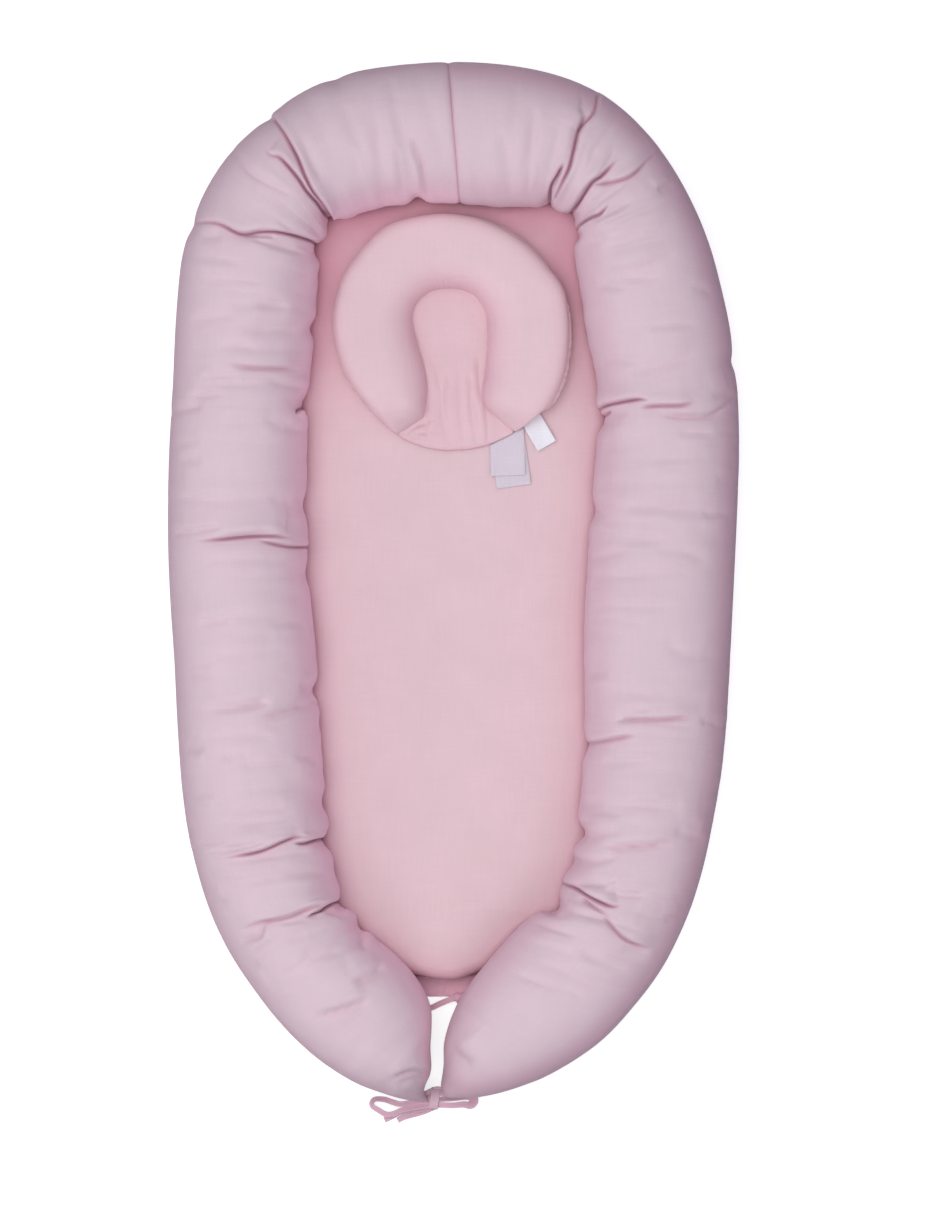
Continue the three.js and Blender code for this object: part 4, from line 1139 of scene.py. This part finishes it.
def add_ruffle():
    """The narrow seam that stands out, gathered, at the pillow's right edge."""
    route = even_curve(plan(RUFFLE_ROUTE), RUFFLE_SPACING)
    outward = left_of(unit(np.gradient(route, axis=0)))
    if outward[:, 0].sum() < 0:
        outward = -outward
    share = np.linspace(-1, 1, RUFFLE_COLUMNS)[None, :]
    along = np.arange(len(route)) * RUFFLE_SPACING
    place = np.stack([along / RUFFLE_GATHER, 0 * along, 0 * along], 1)
    wave = ripple(place, 1, 4)[:, None]
    ends = from_ends(len(route))[:, None] * RUFFLE_SPACING
    uneven = 1 + RUFFLE_UNEVENNESS * ripple(place, 1, 14)[:, None]
    width = RUFFLE_WIDTH * smooth(ends / RUFFLE_FADE) * uneven
    xy = route[:, None] + outward[:, None] * (share * width / 2 - RUFFLE_TUCK)[..., None]
    z = RUFFLE_HEIGHT + RUFFLE_WAVE * wave * (share + 1) / 2 - RUFFLE_TILT * share
    return slab_from_grid("ruffle", clear_of_labels(raised(xy, z)), RUFFLE_THICKNESS)


def add_horseshoe(cotton):
    across, middle, rise, at = paired_curves(HORSESHOE_PAIRS, PILLOW_RING_SPACING, 1)
    section = horseshoe_section()
    z = PANEL_TOP + (PILLOW_TOP - PANEL_TOP) * rise * section[:, 1]
    grid = clear_of_labels(raised(middle + across * section[:, 0][None, :, None], z))
    along = row_lengths(grid)
    puckers = ripple(np.stack([along / PUCKER_SPACING, 0 * along, 0 * along], 1), 1, 9)[:, None]
    first, last = PUCKER_ROWS
    head = smooth((at - first) / PUCKER_FADE) * smooth((last - at) / PUCKER_FADE)
    inner = np.exp(-(((section[:, 0] - PUCKER_PLACE) / PUCKER_WIDTH) ** 2)) * (section[:, 1] > 0)
    pucker = PUCKER_DEPTH * puckers * (PUCKER_LEAST + head[:, None]) * inner[None, :]
    grid += grid_normals(grid, wrap=True) * pucker[..., None]
    grid[..., 2] = np.maximum(grid[..., 2], PANEL_TOP)
    # Painted shade on the ring's low inner side and painted light on its low outer side
    low = (1 - np.clip(section[:, 1], 0, 1)) ** 1.1
    outside = smooth(section[:, 0] / 0.4)
    ring = mesh_from_grid("pillow_horseshoe", grid, wrap=True, caps=True, plan_weave=True)
    mark_points(ring, "flush", np.tile(RING_PAINTED_SHADE * low * (1 - outside), len(grid)))
    mark_points(ring, "glow", np.tile(RING_PAINTED_LIGHT * low * outside, len(grid)))
    piece = join_pieces("pillow_horseshoe", [ring, add_ruffle()])
    nodes = ("pillow_horseshoe_cover", "pillow_filling")
    finish_piece(piece, cotton, "pillow", nodes)


def lens_grid(rows, spacing, columns, height):
    """Rows of points between a left and a right edge, at a height."""
    left, right = edge(rows, 0), edge(rows, 1)
    at = even_parameters((left + right) / 2, spacing)
    left, right = curve_through(left, at), curve_through(right, at)
    share = np.linspace(0, 1, columns)[None, :, None]
    return raised(left[:, None, :] * (1 - share) + right[:, None, :] * share, height)


def add_keyhole_panel(cotton):
    grid = lens_grid(KEYHOLE_PAIRS, PANEL_SPACING, PANEL_COLUMNS, PANEL_TOP + PANEL_THICKNESS)
    across = np.linspace(-1, 1, PANEL_COLUMNS)[None, :]
    along = np.linspace(0, 1, len(grid))[:, None]
    rim = distance_to_line(grid[..., :2], np.vstack([grid[:, 0, :2], grid[::-1, -1, :2], grid[:1, 0, :2]]))[0]
    inside = smooth((rim - 0.5) / 3)
    crown = np.cos(across * math.pi / 2) * np.sin(np.clip(along * 1.02, 0, 1) * math.pi) ** 0.5
    grid[..., 2] += PANEL_CROWN * crown
    waves = PANEL_RIPPLE_HEIGHT * ripple(grid, *PANEL_RIPPLE) * inside
    grid[..., 2] += PANEL_EDGE_RISE * np.exp(-(((rim - 1.2) / 0.7) ** 2)) + waves
    # An even deeper pink over the panel, with painted shade at its edge and rim and along its folds
    flush = PANEL_EVEN_PINK + (PANEL_EDGE_PAINTED_SHADE - PANEL_EVEN_PINK) * np.exp(-((rim / PANEL_EDGE_WIDTH) ** 2))
    for depth, width, side, start, end, pixels in PANEL_FOLDS:
        distance, part, left = distance_to_line(grid[..., :2], even_curve(plan(pixels), 2))
        share = fold_share(part, start, end)
        grid[..., 2] += share * inside * fold_height(distance * left * side, depth, width)
        line = np.exp(-((distance / PAINTED_SHADE_LINE_WIDTH) ** 2))
        flush = np.maximum(flush, share * PANEL_EDGE_PAINTED_SHADE * 0.6 * line)
    grid[..., 2] = np.maximum(grid[..., 2], PANEL_TOP + 0.5)
    piece = slab_from_grid("pillow_keyhole", clear_of_labels(grid), PANEL_THICKNESS)
    border = len(piece.data.vertices) - 2 * flush.size
    mark_points(piece, "flush", np.concatenate([flush.ravel(), flush.ravel(), np.ones(border)]))
    finish_piece(piece, cotton, "pillow", ("pillow_keyhole_panel",))


def add_pillow_back(cotton):
    angle = np.linspace(0, 2 * math.pi, 181)[:-1]
    flat_side = math.radians(PILLOW_FLAT_ANGLE)
    flatness = np.exp(-(((angle - flat_side) / PILLOW_FLAT_REACH) ** 2))
    reach = PILLOW_RADIUS - PILLOW_BACK_INSET - PILLOW_FLAT_DEPTH * flatness
    spoke = np.stack([np.cos(angle), np.sin(angle)], 1) * reach[:, None]
    rings = []
    for share, height in PILLOW_BACK_RINGS:
        rings.append(raised(PILLOW_CENTRE + spoke * share, PILLOW_BASE + height))
    piece = mesh_from_grid("pillow_back", np.stack(rings)[:, ::-1], wrap=True, caps=True, plan_weave=True)
    finish_piece(piece, cotton, "pillow", ("pillow_back_panel",))


def label_grid(width, length, angle, heading, height, curl):
    radial, forward = way(angle), way(heading)
    side = left_of(forward)
    across = np.linspace(-width / 2, width / 2, LABEL_POINTS[1])
    start = -across * (side @ radial) / (forward @ radial)
    share = np.linspace(0, 1, LABEL_POINTS[0])[:, None]
    reach = start[None, :] * (1 - share) + length * share
    root = PILLOW_CENTRE + radial * LABEL_ROOT
    xy = root + across[None, :, None] * side + reach[..., None] * forward
    at_side = (across[None, :] / width * 2) ** 2
    lift = curl * (share**1.5) * (LABEL_CURL_MIDDLE + (1 - LABEL_CURL_MIDDLE) * at_side)
    return raised(xy, height + LABEL_THICKNESS / 2 + lift)


def add_labels(woven, satin):
    for name, sizes in LABELS.items():
        piece = slab_from_grid(name + "_cloth", label_grid(*sizes), LABEL_THICKNESS)
        is_tab = name == "satin_tab"
        body = "satin_tab" if is_tab else "care_label"
        finish_piece(piece, satin if is_tab else woven, body, (name,))


# Ties


def strap_section(width, thickness):
    angle = np.linspace(0, 2 * math.pi, 1001)
    across = signed_power(np.cos(angle), 2 / STRAP_SQUARENESS[0]) * width / 2
    up = signed_power(np.sin(angle), 2 / STRAP_SQUARENESS[1]) * thickness / 2
    up *= STRAP_MIDDLE + (1 - STRAP_MIDDLE) * (2 * across / width) ** 2
    return resample_section(np.stack([across, up], 1), STRAP_SIDES)


def swept(centres, section, sides, faces):
    """A section at each of a row of places, laid out along a way across and a way up."""
    return centres[:, None] + section[:, :1] * sides[:, None] + section[:, 1:] * faces[:, None]


def strap_grid(route, width, rolls, widths=None):
    """A strap along a route: its section at each place, rolled about the route by an angle in degrees, and
    wider or narrower there by a share."""
    route = np.asarray(route, float)
    at = even_parameters(route, STRAP_SPACING)
    centre = curve_through(route, at)
    roll = np.radians(curve_through(np.asarray(rolls, float)[:, None], at)[:, 0])[:, None]
    tangent = unit(np.gradient(centre, axis=0))
    level = unit(raised(-left_of(tangent), 0))
    side = np.cos(roll) * level + np.sin(roll) * np.cross(level, tangent)
    face = np.cross(side, tangent)
    if widths:
        side = side * curve_through(np.asarray(widths, float)[:, None], at)
    return swept(centre, strap_section(width, TIE_THICKNESS), side, face)


def add_bow(cotton):
    lead = strap_grid(BOW_LEAD + BOW_ORIGIN, BOW_LEAD_WIDTH, [0] * len(BOW_LEAD))
    add_knot("bow_knot", BOW_ORIGIN + BOW_KNOT_PLACE, BOW_BANDS, [lead], cotton)
    for name, (route, rolls, widths) in BOW_STRAPS.items():
        route = np.array(route) + BOW_ORIGIN
        grid = strap_grid(route, BOW_TIE_WIDTH, rolls, widths)
        piece = mesh_from_grid(name + "_strap", grid, wrap=True, caps=True)
        # Painted shade down the middle of each strap, fading towards its edges
        off_middle = np.abs(strap_section(BOW_TIE_WIDTH, TIE_THICKNESS)[:, 0]) / BOW_TIE_WIDTH * 2
        mark_points(piece, "flush", np.tile(STRAP_PAINTED_SHADE * (1 - off_middle), len(grid)))
        finish_piece(piece, cotton, "nest", (name,))


def closed_band(centre, half_sizes, width, lean, thickness):
    """A strap wound once round a knot: a closed loop that leans by an angle in degrees."""
    angle = np.linspace(0, 2 * math.pi, BAND_STEPS + 1)[:-1, None]
    side = np.append(way(lean), 0)
    forward = np.append(left_of(way(lean)), 0)
    up = np.array([0, 0, 1])
    length, height = half_sizes
    outward = unit(np.cos(angle) * forward * height + np.sin(angle) * up * length)
    middle = centre + np.cos(angle) * length * forward + np.sin(angle) * height * up
    grid = swept(middle, strap_section(width, thickness), side[None], outward)
    return np.concatenate([grid, grid[:1]])


def add_knot(name, centre, bands, leads, cotton):
    """A knot of bands wound round it, with the straps that lead into it."""
    pieces = [mesh_from_grid("band", closed_band(centre + place, *band), wrap=True) for place, *band in bands]
    pieces += [mesh_from_grid("lead", lead, wrap=True, caps=True) for lead in leads]
    knot = join_pieces(name + "_wraps", pieces)
    finish_piece(knot, cotton, "nest", (name,))


def add_foot_tie(cotton):
    for name, route in FOOT_STRAPS.items():
        grid = strap_grid(np.array(route) + FOOT_ORIGIN, FOOT_TIE_WIDTH, [FOOT_TIE_ROLL] * len(route))
        piece = mesh_from_grid(name + "_strap", grid, wrap=True, caps=True)
        finish_piece(piece, cotton, "nest", (name,))
    add_knot("foot_tie_knot", FOOT_ORIGIN + FOOT_KNOT_PLACE, FOOT_BANDS, [], cotton)


# Base panel and hem


def add_base(cotton):
    round_from, head, round_length = BASE_HEAD
    ys = np.linspace(BASE_FOOT, head, BASE_POINTS[0])
    left, right = edge(LEFT_PAIRS[4:23], 1), edge(RIGHT_PAIRS[4:22], 1)
    left_x = np.interp(-ys, -left[:, 1], left[:, 0]) - BASE_REACH
    right_x = np.interp(-ys, -right[:, 1], right[:, 0]) + BASE_REACH
    centre = (left_x + right_x) / 2
    head_round = np.cbrt(1 - (np.clip(ys - round_from, 0, None) / round_length) ** 3)
    left_x = centre + (left_x - centre) * head_round
    right_x = centre + (right_x - centre) * head_round
    share = np.linspace(0, 1, BASE_POINTS[1])
    x = left_x[:, None] * (1 - share) + right_x[:, None] * share
    grid = np.stack([x, ys[:, None] + 0 * x, BASE_MIDDLE + 0 * x], 2)
    grid[..., 2] += BASE_RIPPLE_HEIGHT * ripple(grid, *BASE_RIPPLE)
    piece = slab_from_grid("base_sheet", grid, BASE_THICKNESS)
    # The whole base sheet takes the painted shade's deeper pink in full
    mark_points(piece, "flush", np.ones(len(piece.data.vertices)))
    finish_piece(piece, cotton, "nest", ("base_panel",))


def add_hems(cotton):
    down = np.linspace(0, 1, HEM_POINTS[0])[:, None]
    share = np.linspace(0, 1, HEM_POINTS[1])[None, :]
    for name, outer_x, side in HEM_HALVES:
        meeting = HEM_MEETING - HEM_SLANT * down + side * HEM_GAP
        outer = outer_x[1] + (outer_x[0] - outer_x[1]) * down
        x = meeting + (outer - meeting) * share
        y = HEM_TOP + (HEM_BOTTOM - HEM_TOP) * down + 0 * share
        turn = share * HEM_WAVE_TURNS[0] + down * HEM_WAVE_TURNS[1]
        z = HEM_MIDDLE + HEM_WAVE * np.sin(turn) * (HEM_WAVE_TOP + down)
        piece = slab_from_grid(name + "_cloth", np.stack([x, y, z], 2), HEM_THICKNESS)
        finish_piece(piece, cotton, "nest", (name,))


# Materials


def feed(tree, socket, value):
    """Links a socket to the one that feeds it, or sets it to a value; a colour is opaque."""
    if isinstance(value, bpy.types.NodeSocket):
        tree.links.new(value, socket)
    elif socket.type == "RGBA":
        socket.default_value = (*value, 1)
    else:
        socket.default_value = value


def feed_inputs(tree, made, **inputs):
    for name, value in inputs.items():
        feed(tree, made.inputs[name.replace("_", " ")], value)


def node(tree, kind, settings=None, **inputs):
    """A shader node with its settings and inputs; an input is a value or the socket that feeds it."""
    made = tree.nodes.new(kind)
    for name, value in (settings or {}).items():
        setattr(made, name, value)
    feed_inputs(tree, made, **inputs)
    return made


def maths(tree, operation, first, second):
    made = node(tree, "ShaderNodeMath", {"operation": operation})
    feed(tree, made.inputs[0], first)
    feed(tree, made.inputs[1], second)
    return made.outputs[0]


def ranged(tree, value, low, high, to_low=0.0, to_high=1.0):
    """A value moved from one range to another, and held to it."""
    ends = {"From_Min": low, "From_Max": high, "To_Min": to_low, "To_Max": to_high}
    return node(tree, "ShaderNodeMapRange", Value=value, **ends).outputs["Result"]


def mixed(tree, factor, first, second):
    """A colour between two, each a value or the socket that feeds it."""
    mix = node(tree, "ShaderNodeMix", {"data_type": "RGBA"}, Factor=factor)
    feed(tree, mix.inputs[6], first)
    feed(tree, mix.inputs[7], second)
    return mix.outputs[2]


def mottle(tree, vector, scale, detail, stretch=None, roughness=0.5):
    """Noise over the cloth, with features stretched along it where a stretch is given."""
    if stretch:
        vector = node(tree, "ShaderNodeMapping", Vector=vector, Scale=stretch).outputs["Vector"]
    kind = "ShaderNodeTexNoise"
    return node(tree, kind, Vector=vector, Scale=scale, Detail=detail, Roughness=roughness).outputs["Fac"]


def bumped(tree, height, strength, distance, under=None):
    """A normal raised by a height, over another normal where one is given."""
    inputs = {"Height": height, "Strength": strength, "Distance": distance}
    if under is not None:
        inputs["Normal"] = under
    return node(tree, "ShaderNodeBump", **inputs).outputs["Normal"]


def marked(tree, name):
    return node(tree, "ShaderNodeAttribute", {"attribute_name": name}).outputs["Fac"]


def tinted(colour, shares):
    return tuple(part * share for part, share in zip(colour, shares))


def new_material(name):
    material = bpy.data.materials.new(name)
    material.use_nodes = True
    return material, material.node_tree, material.node_tree.nodes["Principled BSDF"]


def woven_material(name, colour, thread, relief, roughness=0.85, crumple=0.0005, contrast=0.05):
    """Plain weave: threads that cross, slubs that run along them and a soft crumple."""
    material, tree, shader = new_material(name)
    cloth = node(tree, "ShaderNodeUVMap", {"uv_map": "cloth"}).outputs["UV"]
    warp, weft = (
        node(
            tree,
            "ShaderNodeTexWave",
            {"wave_type": "BANDS", "wave_profile": "SIN", "bands_direction": direction},
            Vector=cloth,
            Scale=math.pi / 10 / thread,
        ).outputs["Fac"]
        for direction in "XY"
    )
    threads = maths(tree, "MULTIPLY", warp, weft)
    slubs = (mottle(tree, cloth, 1.0, 3.0, stretch) for stretch in ((0.03, 0.9, 1), (0.9, 0.03, 1)))
    slubs = maths(tree, "ADD", *slubs)
    shade = ranged(tree, slubs, 0.6, 1.4, 1 - contrast, 1 + contrast)
    tone = ranged(tree, mottle(tree, cloth, 0.022, 2.0), 0.3, 0.7, 0.98, 1.02)
    # Painted light and shade: paler and pinker where painted light is marked, deeper pink where painted shade
    # is marked, and darker pink along the painted crease lines
    pale = mixed(tree, marked(tree, "glow"), colour, tinted(colour, PAINTED_LIGHT_PINK))
    pink = mixed(tree, marked(tree, "flush"), pale, tinted(colour, PAINTED_SHADE_PINK))
    pink = mixed(tree, marked(tree, "crease"), pink, tinted(colour, PAINTED_CREASE_SHADE))
    shade = maths(tree, "MULTIPLY", shade, tone)
    tint = node(tree, "ShaderNodeVectorMath", {"operation": "SCALE"}, Scale=shade)
    feed(tree, tint.inputs[0], pink)
    crumpled = bumped(tree, mottle(tree, cloth, 0.07, 4.0, roughness=0.55), 1.0, crumple)
    normal = bumped(tree, threads, 0.8, relief, bumped(tree, slubs, 0.6, relief, crumpled))
    feed_inputs(tree, shader, Base_Color=tint.outputs[0], Normal=normal, Roughness=roughness)
    feed_inputs(tree, shader, Specular_IOR_Level=0.25, Sheen_Weight=0.25, Sheen_Roughness=0.5)
    return material


# Stage


def seen_directly(tree):
    """1 for what the camera sees, straight or in gloss and glass, and 0 for light that reaches a piece."""
    rays = node(tree, "ShaderNodeLightPath").outputs
    glossy = maths(tree, "MAXIMUM", rays["Is Camera Ray"], rays["Is Glossy Ray"])
    return maths(tree, "MAXIMUM", glossy, rays["Is Transmission Ray"])


def add_floor():
    bpy.ops.mesh.primitive_plane_add(size=FLOOR_SIZE, location=(0, 0, -FLOOR_DROP))
    floor = bpy.context.object
    floor.name = "floor"
    material, tree, shader = new_material("pale_floor")
    seen = seen_directly(tree)
    pale = mixed(tree, seen, FLOOR_BOUNCE, FLOOR_PALE)
    feed_inputs(tree, shader, Base_Color=pale, Roughness=0.95, Specular_IOR_Level=0.0)
    glow = maths(tree, "MULTIPLY", seen, FLOOR_GLOW)
    feed_inputs(tree, shader, Emission_Color=(1, 1, 1), Emission_Strength=glow)
    floor.data.materials.append(material)


def add_camera():
    view_height = IMAGE_PIXELS[1] * MM_PER_PIXEL * METRES
    centre = plan(np.array(IMAGE_PIXELS) / 2) * METRES
    outline_height = BOLSTER_HEIGHT * WAIST_SHARE * METRES
    data = bpy.data.cameras.new("camera")
    data.sensor_fit = "VERTICAL"
    data.sensor_height = 36
    data.lens = data.sensor_height * CAMERA_DISTANCE / view_height
    camera = bpy.data.objects.new("camera", data)
    camera.location = (centre[0], centre[1], CAMERA_DISTANCE + outline_height)
    bpy.context.scene.collection.objects.link(camera)
    bpy.context.scene.camera = camera


def add_area_light(name, location, size, power):
    data = bpy.data.lights.new(name, "AREA")
    data.shape = "DISK"
    data.size = size
    data.energy = power
    lamp = bpy.data.objects.new(name, data)
    lamp.location = location
    lamp.rotation_euler = (-Vector(location)).to_track_quat("-Z", "Y").to_euler()
    bpy.context.scene.collection.objects.link(lamp)


def add_world():
    """Sky that lights the pieces softly from above and dimly from low down, and is seen white."""
    world = bpy.data.worlds.new("studio")
    world.use_nodes = True
    tree = world.node_tree
    towards = node(tree, "ShaderNodeTexCoord").outputs["Generated"]
    rise = node(tree, "ShaderNodeSeparateXYZ", Vector=towards).outputs["Z"]
    sky = mixed(tree, ranged(tree, rise, *SKY_RISE), HORIZON_COLOUR, SKY_COLOUR)
    feed_inputs(tree, tree.nodes["Background"], Color=mixed(tree, seen_directly(tree), sky, (1.0, 1.0, 1.0)))
    bpy.context.scene.world = world


def main():
    bpy.context.scene.view_settings.view_transform = "Standard"
    add_camera()
    add_bow(woven_material("tie_cotton", TIE_COLOUR, 0.7, 0.0002))
    add_floor()
    add_world()
    for name, lamp in LAMPS.items():
        add_area_light(name, *lamp)
    bolster_cotton = woven_material("bolster_cotton", BOLSTER_COLOUR, 0.6, 0.00012, contrast=0.028)
    mattress_cotton = woven_material("mattress_cotton", MATTRESS_COLOUR, 0.6, 0.00014, contrast=0.03)
    add_bolster(bolster_cotton)
    for add in (add_mattress, add_horseshoe, add_keyhole_panel, add_pillow_back):
        add(mattress_cotton)
    woven = woven_material("woven_label", LABEL_COLOUR, 0.5, 0.0001, roughness=0.7, crumple=0.0002)
    satin = woven_material("satin_ribbon", SATIN_COLOUR, 0.4, 0.00005, roughness=0.35, crumple=0.0004)
    add_labels(woven, satin)
    add_base(bolster_cotton)
    # The hem and the foot ties take a paler cloth than the bow: painted light against the shade at the foot,
    # over the hem's own pink
    hem_cotton_with_painted_light = woven_material("hem_cotton_with_painted_light", HEM_COLOUR, 0.6, 0.00012, contrast=0.028)
    add_hems(hem_cotton_with_painted_light)
    add_foot_tie(hem_cotton_with_painted_light)


main()
